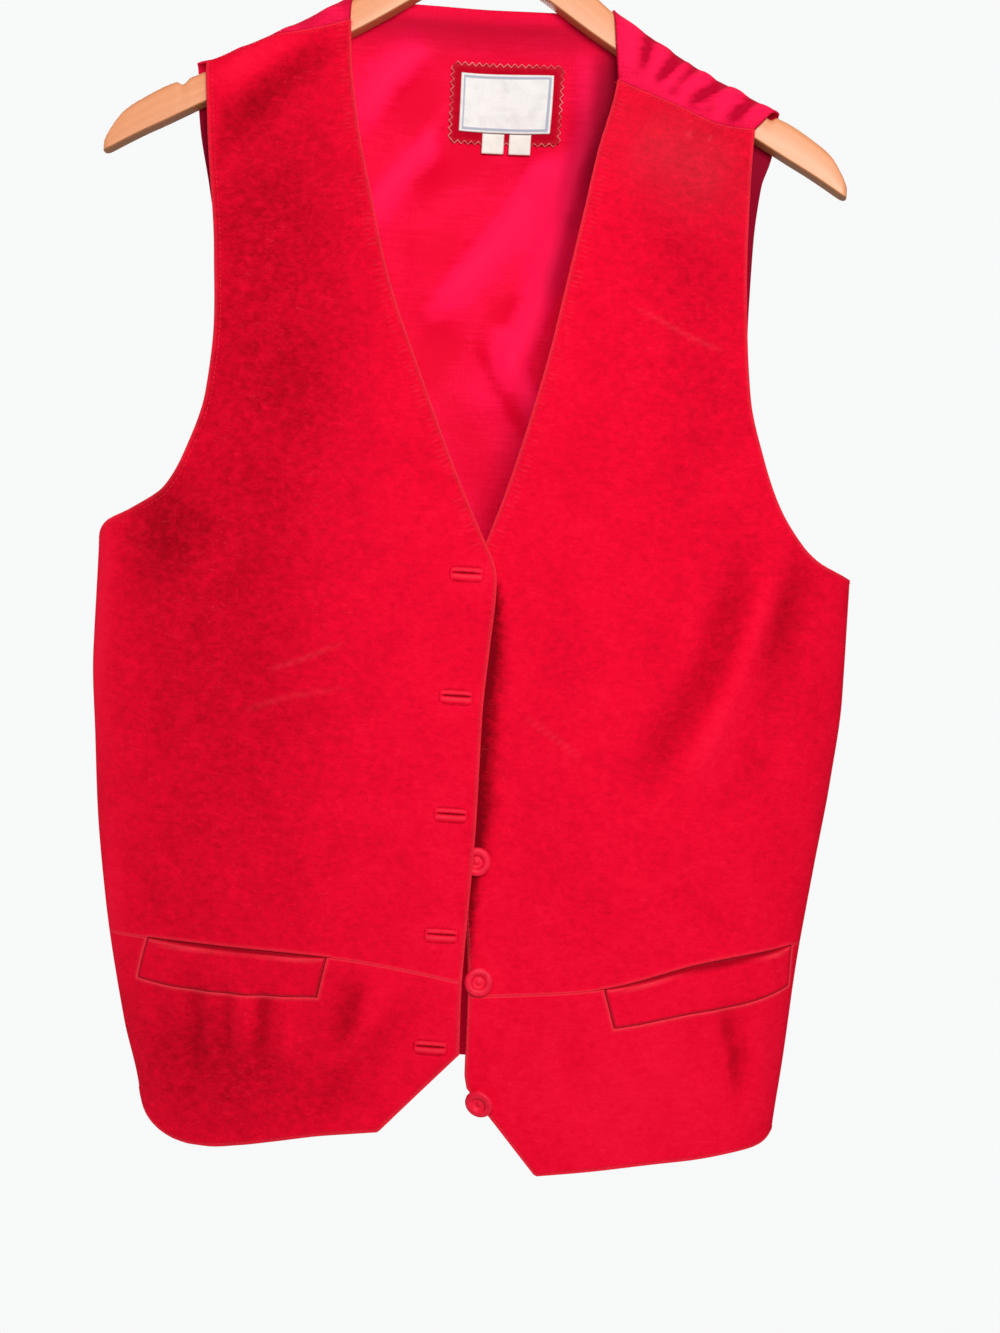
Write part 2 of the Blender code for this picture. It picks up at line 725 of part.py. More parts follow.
def build_buttonhole(number, place):
    """Two lips around a closed slit, laid on the right front."""
    front = SHAPES["right"]
    points = {}
    heights = {}
    for i in range(LIP_COLUMNS + 1):
        for j, lip in enumerate(LIP_PROFILE):
            x = place.x + HOLE_LENGTH * (i / LIP_COLUMNS - 0.5)
            z = place.z + lip.across
            points[i, j] = surface_point(front.place, angle_at(x, z), z, -1)
            heights[i, j] = (lip.height, SEAM_GAP)
    cells = grid_cells(LIP_COLUMNS, len(LIP_PROFILE) - 1)
    cloth(f"buttonhole_{number}", points, cells, heights.get, "suede")


def build_button(number, place):
    """A turned button on the left front, its rim raised around a dished middle."""
    seat, normal = surface_point(SHAPES["left"].place, angle_at(place.x, place.z), place.z, -1)
    bm = bmesh.new()
    rings = []
    for turn in BUTTON_PROFILE:
        if turn.radius == 0:
            rings.append([bm.verts.new((0, 0, turn.height * MM))])
            continue
        angles = [2 * math.pi * k / BUTTON_SIDES for k in range(BUTTON_SIDES)]
        rings.append([bm.verts.new((turn.radius * math.cos(a) * MM, turn.radius * math.sin(a) * MM,
                                    turn.height * MM)) for a in angles])
    for upper, lower in zip(rings, rings[1:]):
        for k in range(BUTTON_SIDES):
            after = (k + 1) % BUTTON_SIDES
            corners = [upper[k % len(upper)], lower[k % len(lower)],
                       lower[after % len(lower)], upper[after % len(upper)]]
            bm.faces.new(list(dict.fromkeys(corners)))
    button = add_object(f"button_{number}", bm, "plastic")
    button.location = (seat + normal * BUTTON_SEAT_GAP) * MM
    button.rotation_mode = "QUATERNION"
    button.rotation_quaternion = normal.to_track_quat("Z", "Y")


def rounded_ring(top, bottom):
    """Section of a hanger arm, a rectangle with round corners, as (y, z)."""
    radius = min(HANGER_ROUND, (top - bottom) * HANGER_ROUND_SHARE)
    half = HANGER_THICKNESS / 2 - radius
    ring = []
    for y, z, start in ((half, top - radius, 0), (-half, top - radius, 90),
                        (-half, bottom + radius, 180), (half, bottom + radius, 270)):
        for turn in (0, 45, 90):
            angle = math.radians(start + turn)
            ring.append((y + radius * math.cos(angle), z + radius * math.sin(angle)))
    return ring


def build_hanger():
    """A flat arm to each side, with a strap notch near each tip."""
    notch = [NOTCH_X + NOTCH_HALF_WIDTH * share for share in NOTCH_SHARES]
    even = [ARM_STEP * (k + 1) for k in range(ARM_STEPS)]
    half = sorted(even + notch + [row.x for row in ARM[ARM_END_ROW:]])
    bm = bmesh.new()
    rings = []
    for x in [-x for x in reversed(half)] + [0.0] + half:
        in_notch = abs(abs(x) - NOTCH_X) < NOTCH_HALF_WIDTH
        top = arm_top(x) - (NOTCH_DEPTH if in_notch else 0.0)
        rings.append([bm.verts.new((x * MM, y * MM, z * MM)) for y, z in rounded_ring(top, arm_bottom(x))])
    for first, second in zip(rings, rings[1:]):
        count = len(first)
        for k in range(count):
            bm.faces.new((first[k], first[(k + 1) % count], second[(k + 1) % count], second[k]))
    bm.faces.new(rings[0])
    bm.faces.new(rings[-1])
    add_object("hanger", bm, "wood")


def hook_route():
    """Middle line of the wire, as (x, z): a stem, a bend and most of a circle."""
    centre_z = WIRE_RADIUS - HOOK_RADIUS
    first = math.radians(HOOK_FIRST_ANGLE)
    join = Vector((HOOK_RADIUS * math.cos(first), centre_z + HOOK_RADIUS * math.sin(first)))
    tangent = Vector((-math.sin(first), math.cos(first)))
    foot = Vector((0, HOOK_FOOT_Z))
    pull = (join - foot).length * HOOK_BEND_PULL
    controls = (foot, foot + Vector((0, pull)), join - tangent * pull, join)
    route = [Vector((0, arm_top(0) + SEAM_GAP))]
    for k in range(HOOK_BEND_STEPS):
        t = k / HOOK_BEND_STEPS
        weights = ((1 - t) ** 3, 3 * t * (1 - t) ** 2, 3 * t * t * (1 - t), t ** 3)
        route.append(sum((w * p for w, p in zip(weights, controls)), Vector((0, 0))))
    for k in range(HOOK_STEPS + 1):
        angle = math.radians(lerp(HOOK_FIRST_ANGLE, HOOK_LAST_ANGLE, k / HOOK_STEPS))
        route.append(Vector((HOOK_RADIUS * math.cos(angle), centre_z + HOOK_RADIUS * math.sin(angle))))
    return route


def build_hook():
    curve = bpy.data.curves.new("hook", "CURVE")
    curve.dimensions = "3D"
    curve.bevel_depth = WIRE_RADIUS * MM
    curve.bevel_resolution = 2
    curve.use_fill_caps = True
    route = hook_route()
    spline = curve.splines.new("POLY")
    spline.points.add(len(route) - 1)
    for point, place in zip(spline.points, route):
        point.co = (place.x * MM, 0, place.y * MM, 1)
    curve.materials.append(material("steel"))
    bpy.context.collection.objects.link(bpy.data.objects.new("hook", curve))


SHAPES = {name: FrontShape(name) for name in FRONTS}


def main():
    for old in list(bpy.data.objects):
        bpy.data.objects.remove(old)
    build_hanger()
    build_hook()
    build_back()
    for front in SHAPES.values():
        build_front_upper(front)
        build_front_lower(front)
    for patch in PATCHES:
        build_patch(patch)
    for number, place in enumerate(BUTTONHOLE_PLACES, 1):
        build_buttonhole(number, place)
    for number, place in enumerate(BUTTON_PLACES, 1):
        build_button(number, place)


main()
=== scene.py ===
import math

import bpy
import numpy as np
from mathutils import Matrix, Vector


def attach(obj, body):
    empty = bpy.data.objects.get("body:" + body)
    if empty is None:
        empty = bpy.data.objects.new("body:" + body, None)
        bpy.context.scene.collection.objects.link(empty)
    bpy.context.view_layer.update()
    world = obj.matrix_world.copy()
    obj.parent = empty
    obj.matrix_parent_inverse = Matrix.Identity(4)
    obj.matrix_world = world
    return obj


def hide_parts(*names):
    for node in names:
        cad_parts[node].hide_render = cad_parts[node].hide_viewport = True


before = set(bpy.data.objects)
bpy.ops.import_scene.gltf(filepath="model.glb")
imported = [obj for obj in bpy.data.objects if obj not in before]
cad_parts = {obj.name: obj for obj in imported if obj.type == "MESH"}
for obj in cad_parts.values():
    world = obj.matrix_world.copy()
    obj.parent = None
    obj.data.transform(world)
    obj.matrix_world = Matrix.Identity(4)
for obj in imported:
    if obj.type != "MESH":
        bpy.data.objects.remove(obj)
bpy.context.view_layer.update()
mm = 0.001  # the tables below are in millimetres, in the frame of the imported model


def between(a, b, share):
    return a + (b - a) * share


def eased(start, end, value):
    share = np.clip((value - start) / (end - start), 0.0, 1.0)
    return share * share * (3 - 2 * share)


class Curve:  # a smooth line through (key, value) rows, straight past its ends
    def __init__(self, rows):
        self.keys, self.values = np.array(sorted(rows), float).T
        slopes = np.diff(self.values) / np.diff(self.keys)
        before, after = slopes[:-1], slopes[1:]
        sameWay = before * after > 0
        middle = np.where(sameWay, 2 * before * after / np.where(sameWay, before + after, 1.0), 0.0)
        self.slopes = np.concatenate((slopes[:1], middle, slopes[-1:]))

    def __call__(self, key):
        key = np.asarray(key, float)
        k = np.clip(np.searchsorted(self.keys, key) - 1, 0, len(self.keys) - 2)
        step = self.keys[k + 1] - self.keys[k]
        inside = np.clip(key, self.keys[0], self.keys[-1])
        t = (inside - self.keys[k]) / step
        m, n = self.slopes[k] * step, self.slopes[k + 1] * step
        first = (self.values[k] * (1 + 2 * t) + m * t) * (1 - t) ** 2
        second = (self.values[k + 1] * (3 - 2 * t) + n * (t - 1)) * t * t
        slope = np.where(key < self.keys[0], self.slopes[0], self.slopes[-1])
        return first + second + slope * (key - inside)


# The hung body: loops round it from the hem up, and how the cloth leaves the hanger
bodyForm = {
    "loops": (  # z, middle x, half width, depth in front, depth behind
        (-830, 26, 186, 38, 30),
        (-784, 24.4, 190, 39, 31),
        (-743, 20.4, 197.8, 41, 32),
        (-670, 15.4, 208.8, 44, 34),
        (-622, 14.6, 215.4, 46, 35),
        (-574, 15.2, 220.8, 47, 36),
        (-524, 15, 225, 47, 36),
        (-451, 14.5, 225.5, 46, 36),
        (-380, 10, 236, 44, 34),
        (-300, 5, 258, 40, 31),
        (-180, 0, 300, 30, 24),
        (-60, 0, 330, 16, 14),
    ),
    "ridgeRise": (  # x, how far the cloth stands over the arm
        (-171, 8.5), (-160, 6.2), (-140, 5.8), (-125, 5.2), (-105, 4.3), (-85, 4.0), (0, 3.0), (77, 2.4),
        (116, 2.4), (138, 2.7), (153, 3.9), (175, 4.2),
    ),
    "riseLimits": (2.4, 9.5),
    "ridgeRadius": 9.0,
    "sideFade": 0.35,  # the angle from a side seam over which the relief comes up
    "fallStart": 14.0,
    "fallLength": 150.0,
    "seamGap": 0.3,
    "closedGap": 0.06,  # between two panels that are sewn to each other
}
hangerForm = {
    "arm": (  # x, top, bottom, from the middle out
        (0, -68, -98), (28, -84, -113.5), (66, -115, -138), (81, -126.5, -147),
        (168, -175.5, -195), (186, -183, -205), (200, -191.3, -212.5), (212, -200.3, -219.5),
        (219.5, -211.5, -224), (223, -218.5, -225.5),
    ),
    "thickness": 12.0,
    "corner": 4.0,
    "lowerCorner": 1.3,
    "notches": (-177.5, 174.0),
    "notchHalf": 4.8,
    "notchDepth": 2.9,
    "sections": 150,
    "notchSections": (168.0, 184.0, 25),       # finer beside a notch: from, to, how many
    "tipSections": (0.0, 0.4, 1.0, 1.8, 2.8),  # and back from a tip, which is full at the last
    "tipClear": 4.0,
    "tipWidth": 0.35,
    "tipHeight": 0.75,
    "cornerSteps": 5,
    "sharpAngle": 50.0,
}

loopMiddle, loopHalf, frontDepth, backDepth = (
    Curve([(row[0], row[k]) for row in bodyForm["loops"]]) for k in range(1, 5))
armRows = hangerForm["arm"] + tuple((-x, top, bottom) for x, top, bottom in hangerForm["arm"][1:])
armTop = Curve([(x, top) for x, top, bottom in armRows])
armBottom = Curve([(x, bottom) for x, top, bottom in armRows])
ridgeRise = Curve(bodyForm["ridgeRise"])
seamGap, closedGap = bodyForm["seamGap"], bodyForm["closedGap"]
ridgeRadius = bodyForm["ridgeRadius"]
quarterBend = ridgeRadius * math.pi / 2


def ridge(x):
    return armTop(x) + np.clip(ridgeRise(x), *bodyForm["riseLimits"])


def loopX(angle, z):
    return loopMiddle(z) + loopHalf(z) * np.cos(angle)


def loopAngle(x, z):
    return np.arccos(np.clip((x - loopMiddle(z)) / loopHalf(z), -1.0, 1.0))


def fall(x, z, angle, depth):
    start = bodyForm["fallStart"]
    below = ridge(x) - z
    onBend = np.sqrt(np.maximum(ridgeRadius ** 2 - np.maximum(ridgeRadius - below, 0.0) ** 2, 0.0))
    share = eased(start, start + bodyForm["fallLength"], below)
    return between(onBend, depth(z) * np.sin(angle), share)


# How much of its relief the cloth has: none at a side seam
def fromSide(angle):
    return eased(0.0, bodyForm["sideFade"], np.minimum(angle, math.pi - angle))


def seamAngle(side, depth, z):
    offset = closedGap / 2 / depth(z)
    return offset if side > 0 else math.pi - offset


creaseTaper = 0.55  # how much of its depth a crease loses at its ends


# A crease is (width, depth, lean, place, place, ...): above zero a ridge, below zero a trough
def creaseHeight(creases, x, z):
    height = np.zeros(np.shape(x))
    for width, depth, lean, *path in creases:
        near = np.full(np.shape(x), 1e6)
        along = np.zeros(np.shape(x))
        for k, ((ax, az), (bx, bz)) in enumerate(zip(path, path[1:])):
            dx, dz = bx - ax, bz - az
            share = np.clip(((x - ax) * dx + (z - az) * dz) / (dx * dx + dz * dz), 0.0, 1.0)
            offX, offZ = x - ax - share * dx, z - az - share * dz
            aside = (dx * offZ - dz * offX) / math.hypot(dx, dz)
            reach = width * (1 + lean * np.tanh(3 * aside / width))
            distance = np.hypot(offX, offZ) / reach
            along = np.where(distance < near, (k + share) / (len(path) - 1), along)
            near = np.minimum(near, distance)
        taper = 1 - creaseTaper * (2 * along - 1) ** 4
        height += depth * taper * np.exp(-2 * near ** 2)
    return height


# Broad unevenness of cloth that hangs free: a few crossing waves, the same every run
def unevenness(seed, x, z, size, height):
    rng = np.random.default_rng(seed)
    waves = rng.uniform((0, 0, 0.6), (2 * math.pi, 2 * math.pi, 1.7), (8, 3))
    total = np.zeros(np.shape(x))
    for turn, phase, grow in waves:
        total += np.sin((x * math.cos(turn) + z * math.sin(turn)) * 2 * math.pi * grow / size + phase)
    return total * height / len(waves) ** 0.5


buttonholePlaces = ((11.5, -466), (10, -537), (11.3, -605), (10.2, -675), (8, -740.5))
frontCut = {
    "right": {
        "side": -1,
        "armhole": (
            (-456, -211), (-452, -210), (-447, -206.5), (-439, -190.5), (-425, -169.6), (-404, -158.4),
            (-368, -148), (-333, -145.6), (-285, -149.3), (-211, -160.4), (-172, -164),
        ),
        "neckline": (
            (-466, 29), (-459, 27), (-448, 21.5), (-406, 1), (-350, -23.3), (-298, -44.3),
            (-245, -59.3), (-202, -70.4), (-164, -77.2), (-125, -80.4),
        ),
        "frontEdge": (
            (-744, 25), (-703, 23.9), (-661, 25), (-607, 26.2), (-548, 25.8), (-507, 27.6), (-476, 29.2),
            (-466, 29),
        ),
        "hem": (
            (-164.4, -788), (-162.3, -793.5), (-158.5, -799), (-153.5, -803.2), (-147, -806.8),
            (-139, -809.4), (-130, -810.6), (-121, -810.6), (-100, -807.6), (-83, -804), (-56, -798.2),
            (-36, -795), (-19.5, -792.6),
        ),
        "cutaway": (25, -744),
        "waist": ((-200, -690), (-160, -690.7), (-54, -692.7), (-10, -697), (24, -702)),
        "seamDrop": ((-164, 1.4), (-129, 1.8), (-110, 7.5), (-95, 12.5), (-80, 17)),
        "armBand": 4.0,
        "pocket": (-163, -55),
        "pocketLean": (-10.2, -6.6),
        "pocketSag": 4.6,
        "pocketMouth": (3.0, 1.3, 0.6),  # height, which end it gapes towards, how full
        "seed": 11,
        "nap": (  # patches of pile laid another way and of painted shade, with painted highlight at the side edge: x, z, reach across and up, how much paler, or darker below zero
            (-125, -490, 64, 244, -0.27), (-98, -354, 32, 44, -0.20), (-114, -262, 50, 75, -0.24),
            (-107, -767, 64, 41, -0.28), (-168, -450, 24, 34, -0.32),
            (-208, -520, 9, 110, 0.30), (-190, -690, 9, 60, 0.20),
            *((x, z, 15, 9, 0.14) for x, z in buttonholePlaces),
        ),
        "shades": (  # painted shade and light along a line, given as creases are
            (17, -0.23, 0.3, (-100, -160), (-118, -175), (-134, -190), (-148, -210)),
            (12, 0.26, 0.0, (-155, -182), (-138, -166), (-118, -152)),
            (5, -0.16, 0.2, (-91.5, -718), (-93, -752)),
            (7, -0.16, 0.2, (-40, -712), (-45, -744)),
        ),
        "scuffs": (
            (1.6, 1.0, 0.0, (-98, -528), (-80, -521), (-59, -511)),
            (1.6, 0.8, 0.0, (-111, -552), (-86, -543), (-57, -537)),
        ),
        "creases": (
            (14, 1.8, 0.0, (-152, -186), (-104, -150)),
            (13, -2.6, 0.2, (-150, -213), (-118, -178), (-90, -155)),
            (12, -3.2, 0.2, (-136, -718), (-132, -738), (-131, -760)),
            (9, 2.6, 0.0, (-102, -718), (-101, -756)),
            (6, -2.6, 0.0, (-91.5, -718), (-92, -750)),
            (9, 2.2, 0.1, (-78, -716), (-76, -754)),
            (12, -3.4, -0.2, (-38, -706), (-44.6, -740)),
            (9, -1.6, 0.3, (-158, -722), (-150, -742), (-151, -766)),
            (8, -2.2, -0.2, (-114, -717), (-113, -752)),
            (9, 1.4, 0.2, (-124, -720), (-122, -754)),
            (13, -3.0, 0.3, (-4, -714), (-21, -738), (-51, -775), (-57, -788)),
            (9, 1.4, 0.0, (-24, -708), (-34, -738)),
            (12, -1.2, 0.3, (-128, -470), (-150, -520)),
            (14, -1.0, -0.2, (-186, -468), (-164, -530), (-158, -590)),
            (22, -1.3, 0.3, (-70, -395), (-8, -412)),
            (16, -0.9, -0.3, (-120, -420), (-62, -432)),
            (11, -0.8, 0.2, (-66, -528), (-22, -512)),
            (12, -0.8, 0.3, (-92, -566), (-30, -546)),
            (26, 1.5, 0.0, (-104, -300), (-112, -380)),
            (18, -1.1, 0.0, (-80, -640), (-74, -684)),
            (10, -0.9, -0.2, (-180, -640), (-150, -676)),
            (13, 0.9, 0.2, (-128, -640), (-118, -684)),
        ),
    },
    "left": {
        "side": 1,
        "armhole": (
            (-453, 239), (-444.5, 218.5), (-432.5, 204.7), (-413, 191.3), (-387, 180.5),
            (-353, 170.4), (-313, 165.9), (-264, 164), (-190, 165), (-172, 166),
        ),
        "neckline": (
            (-489, 8), (-478, 11), (-410, 32.6), (-339, 50), (-300, 57), (-249, 65.8), (-211, 72),
            (-167, 81), (-130, 83),
        ),
        "frontEdge": (
            (-764, 30.3), (-755, 28.6), (-735, 28.2), (-711, 27.6), (-632, 19.5), (-563, 13.4), (-489, 8),
        ),
        "hem": (
            (213.6, -785), (210.5, -788.6), (206.5, -791.2), (201, -793.2), (190, -795.6), (166, -800),
            (143, -803), (110, -807.7), (73.4, -813.2),
        ),
        "cutaway": (30.3, -764),
        "waist": (
            (230, -668), (219.5, -671.7), (161.7, -684.2), (106.7, -701.2), (60, -707.5), (10, -712),
        ),
        "seamDrop": ((166, 18.5), (146, 26.5), (118, 31), (82, 40.5)),
        "armBand": 1.8,
        "pocket": (217.8, 106.7),
        "pocketLean": (2.2, 7.9),
        "pocketSag": 6.0,
        "pocketMouth": (3.8, 1.0, 0.8),
        "seed": 23,
        # patches of pile laid another way and of painted shade
        "nap": ((135, -280, 46, 133, -0.22), (201, -492, 35, 70, -0.10), (125, -205, 60, 40, -0.10),
                (130, -762, 70, 45, 0.14)),
        # painted shade along a crease
        "shades": ((5, -0.20, 0.2, (178.5, -714), (187, -738), (190, -758)),),
        # z, and how far the painted shadow beside the right front's edge reaches
        "underlap": (
            (-470, 1), (-490, 4.5), (-530, 8), (-590, 8), (-625, 6), (-640, 4), (-695, 3.5), (-712, 0.5),
        ),
        "scuffs": (
            (2.4, 3.0, 0.0, (125.5, -194.8), (126, -195)),
            (1.8, 2.4, 0.0, (138, -196.4), (138.4, -196.6)),
            (40, 0.9, 0.0, (95, -195), (150, -225)),
            (1.6, 1.0, 0.0, (102, -306), (128, -318), (150, -326)),
            (1.6, 0.9, 0.0, (52, -546.6), (68, -557), (83, -568)),
        ),
        "creases": (
            (15, -5.2, 0.25, (207, -446), (202, -476), (194, -508)),
            (15, 4.2, 0.0, (190, -452), (172, -518), (152, -572)),
            (17, -6.8, -0.25, (175, -450), (160, -508), (126, -576)),
            (14, 1.6, 0.0, (152, -468), (134, -540)),
            (14, -1.5, 0.2, (200, -520), (186, -566), (170, -600)),
            (10, -1.1, -0.2, (138, -470), (112, -520)),
            (8, -3.0, 0.3, (178.5, -714), (187, -738), (190, -760)),
            (14, -1.6, 0.3, (186, -716), (194, -748)),
            (12, 1.8, 0.0, (196, -716), (204, -748)),
            (9, -1.2, 0.2, (158, -720), (165, -752)),
            (9, -1.0, -0.2, (128, -728), (126, -760)),
            (11, -1.0, 0.3, (86, -728), (94, -768)),
            (20, -1.2, 0.2, (62, -470), (70, -540)),
            (24, 1.3, 0.0, (112, -300), (118, -392)),
            (16, -1.0, -0.3, (148, -380), (104, -420)),
            (14, -0.9, 0.2, (150, -640), (178, -672)),
            (16, -0.9, 0.0, (84, -610), (96, -668)),
        ),
    },
}
tuckForm = {  # how the left front dips under the right one
    "depth": 7.0, "lowDepth": 3.0, "flat": 24.0, "fade": 78.0, "top": (-340, -450), "low": (-650, -720),
}
suedeForm = {
    "wall": 1.6,
    "pocketHeight": 23.0,
    "weltLift": 0.1,
    "slotDepth": 2.4,
    "sagReach": 0.93,     # how much of a half wave the foot of a pocket follows
    "sagPower": 0.7,      # below one, the lowest place moves towards its outer end
    "underlapShade": 0.95,
    "underlapStart": (-464, -480),
    "edgeBand": 1.8,      # from a free edge to its row of stitches
    "shoulderBand": 2.4,  # the same at the shoulder seam
    "edgeRound": 0.96,    # how far in from a cut edge the wall is rounded
    "seamRound": 0.12,    # the same from a seam
    "seamRim": 0.9,       # how full the wall stays at a seam
    "bandPuff": 0.2,
    "puckerReach": 13.0,
    "puckerStart": (-20.0, 30.0),  # from the break of the neckline
    "puckerHeight": 0.32,
    "gatherSize": 9.0,
    "gatherStretch": 0.12,
    "shoulderFade": 12.0,
    "unevenSize": 95.0,
    "unevenHeight": 0.55,
    "upperWidth": 240.0,
    "upperSteps": (96, 96, 140),  # of the grid: across, up to the armpit and over it
    "lowerWidth": 215.0,
    "lowerHeight": 110.0,
    "lowerSteps": (26, 58, 40),   # before, along and after the pocket
    "lowerRows": 46,
    "pocketRows": 14,
    "weltSteps": 60,
}


class Front:  # the edges and the outer surface of one front
    def __init__(self, name):
        cut = frontCut[name]
        self.name, self.cut, self.side = name, cut, cut["side"]
        self.armpit = cut["armhole"][0][0]
        atSeam = float(loopX(seamAngle(self.side, frontDepth, self.armpit), self.armpit))
        self.breakZ = cut["neckline"][0][0]
        self.point = cut["hem"][-1]
        self.armhole = Curve([(self.armpit, atSeam), *cut["armhole"][1:]])
        self.neckline, self.frontEdge, self.hemLine, self.waist, self.seamDrop = (
            Curve(cut[key]) for key in ("neckline", "frontEdge", "hem", "waist", "seamDrop"))

    def outer(self, z):
        seam = loopX(seamAngle(self.side, frontDepth, z), z)
        return np.where(z <= self.armpit, seam, self.armhole(z))

    def inner(self, z):
        return np.where(z <= self.breakZ, self.frontEdge(z), self.neckline(z))

    def hem(self, x):
        (px, pz), (cx, cz) = self.point, self.cut["cutaway"]
        slant = between(pz, cz, (x - px) / (cx - px))
        return np.where((x - px) * self.side >= 0, self.hemLine(x), slant)

    def shoulder(self, x):
        return ridge(x) - self.seamDrop(x)

    def tuck(self, x, z):
        if self.side < 0:
            return 0.0
        depth = tuckForm["depth"] * eased(*tuckForm["top"], z)
        depth = depth + (tuckForm["lowDepth"] - tuckForm["depth"]) * eased(*tuckForm["low"], z)
        return depth * (1 - eased(tuckForm["flat"], tuckForm["fade"], x - self.inner(z)))

    def pucker(self, x, z):
        reach = suedeForm["puckerReach"]
        inBand = 1 - eased(reach * 0.5, reach, np.abs(x - self.inner(z)))
        start, full = suedeForm["puckerStart"]
        return inBand * eased(self.breakZ + start, self.breakZ + full, z)

    def relief(self, x, z):
        rise = creaseHeight(self.cut["creases"], x, z)
        rise = rise + unevenness(self.cut["seed"], x, z, suedeForm["unevenSize"], suedeForm["unevenHeight"])
        gathers = unevenness(self.cut["seed"] + 1, x * suedeForm["gatherStretch"], z, suedeForm["gatherSize"],
                             suedeForm["puckerHeight"])
        fromShoulder = eased(0.0, suedeForm["shoulderFade"], self.shoulder(x) - z)
        return (rise + gathers * self.pucker(x, z)) * fromShoulder - self.tuck(x, z)

    def place(self, angle, z):
        x = loopX(angle, z)
        return np.stack((x, -fall(x, z, angle, frontDepth) - self.relief(x, z) * fromSide(angle), z), -1)

    def marks(self, place):  # what the suede's look reads besides the distance to its edges
        x, z = place[..., 0], place[..., 2]
        # darker and paler patches, partly pile laid another way and partly painted shade and highlight, then
        # painted shade along creases and the painted shadow beside the overlapping edge
        nap = np.zeros(x.shape)
        for atX, atZ, reachX, reachZ, share in self.cut["nap"]:
            nap += share * np.exp(-((x - atX) / reachX) ** 2 - ((z - atZ) / reachZ) ** 2)
        nap += creaseHeight(self.cut["shades"], x, z)
        if "underlap" in self.cut:  # painted shadow beside the edge that lies over it
            reach = np.maximum(Curve(self.cut["underlap"])(z), 0.5)
            past = np.maximum(x - fronts["right"].inner(z), 0.0) / reach
            nap -= suedeForm["underlapShade"] * np.exp(-past ** 2) * eased(*suedeForm["underlapStart"], z)
        return {"nap": nap, "fold": creaseHeight(self.cut["creases"], x, z), "groove": np.ones(x.shape),
                "scuff": np.clip(creaseHeight(self.cut["scuffs"], x, z), 0.0, 3.0)}

    def normal(self, angle, z):
        return -normalOf(self.place, angle, z, angleStep)

    def on(self, x, z, lift):
        angle = loopAngle(x, z)
        return self.place(angle, z) + self.normal(angle, z) * lift


angleStep, lengthStep = 0.004, 0.5  # between the places that give a normal


def normalOf(place, a, b, stepA):
    alongA = place(a + stepA, b) - place(a - stepA, b)
    alongB = place(a, b + lengthStep) - place(a, b - lengthStep)
    normal = np.cross(alongA, alongB)
    return normal / np.linalg.norm(normal, axis=-1, keepdims=True)


calmForm = {"ends": 0.12, "around": range(-24, 25, 6)}  # share of a panel left as it is, levels averaged


class Panel:  # between two edges (x at z) and two borders (z at x), read by a share across and a share up
    def __init__(self, outer, inner, bottom, top, start, end, hold=3):
        self.edges, self.borders, self.hold = (outer, inner), (bottom, top), hold
        self.ends = [[self.meeting(edge, border, z) for edge in self.edges]
                     for border, z in zip(self.borders, (start, end))]
        self.angles = [[loopAngle(edge(z), z) for edge, z in zip(self.edges, row)] for row in self.ends]

    def meeting(self, edge, border, z):
        for _ in range(12):
            z = border(edge(z))
        return float(z)

    def borderZ(self, k, share):
        z = between(*self.ends[k], share)
        angle = between(*self.angles[k], share)
        for _ in range(6):
            z = self.borders[k](loopX(angle, z))
        return z

    def at(self, share, up):
        z = between(self.borderZ(0, share), self.borderZ(1, share), up)
        levels = [between(low, high, up) for low, high in zip(*self.ends)]
        calm = eased(0.0, calmForm["ends"], up) * eased(1.0, 1 - calmForm["ends"], up)
        first = self.softened(0, levels[0], calm * (1 - (1 - share) ** self.hold))
        last = self.softened(1, levels[1], calm * (1 - share ** self.hold))
        return between(first, last, share), z

    # Away from an edge the grid follows a calmer line, so that a corner of the edge doesn't shear it
    def softened(self, k, level, calm):
        edge = self.edges[k]
        angle = loopAngle(edge(level), level)
        around = np.mean([loopAngle(edge(level + step), level + step) for step in calmForm["around"]], 0)
        return angle + (around - angle) * calm


def stations(*marks):  # shares from 0, in equal steps up to each (mark, steps)
    shares = [0.0]
    for mark, steps in marks:
        shares += list(between(shares[-1], mark, (np.arange(steps) + 1) / steps))
    return shares


edgeSteps = (0.35, 0.8, 1.4, 2.3)  # extra grid lines beside an edge, so that it can be rounded
edgeClear = 1.45                   # other grid lines keep this many times the last step away


def refined(shares, span, marks=(0.0, 1.0)):
    reach = edgeSteps[-1] * edgeClear / span
    kept = [share for share in shares if min(abs(share - mark) for mark in marks) > reach]
    beside = [mark + way * step / span for mark in marks for step in edgeSteps for way in (-1, 1)]
    return np.array(sorted({*kept, *marks, 0.0, 1.0, *(share for share in beside if 0 < share < 1)}))


def nearestLine(points, starts, ends):
    best = np.full(len(points), 1e3)
    if len(starts) == 0:
        return best
    run = ends - starts
    runSquared = np.maximum((run * run).sum(-1), 1e-9)
    batch = 1500  # points at a time, which keeps the arrays small
    for first in range(0, len(points), batch):
        gap = points[first:first + batch, None, :] - starts
        share = np.clip((gap * run).sum(-1) / runSquared, 0.0, 1.0)
        gap = gap - share[..., None] * run
        best[first:first + batch] = np.sqrt((gap * gap).sum(-1).min(1))
    return best


def fromLine(place, line):  # how far each place of a grid lies from a line of places
    return nearestLine(place.reshape(-1, 3), line[:-1], line[1:]).reshape(place.shape[:2])


# Grid lines on the rim of the kept cells, as start and end keys (row, column)
def rimLines(keep):
    padded = np.pad(keep, 1)
    level = padded[1:, 1:-1] != padded[:-1, 1:-1]
    upright = padded[1:-1, 1:] != padded[1:-1, :-1]
    rows, columns = np.nonzero(level)
    first = np.stack((rows, columns, rows, columns + 1), -1)
    rows, columns = np.nonzero(upright)
    return np.concatenate((first, np.stack((rows, columns, rows + 1, columns), -1)))


def allCells(grid):
    return np.ones((grid.shape[0] - 1, grid.shape[1] - 1), bool)


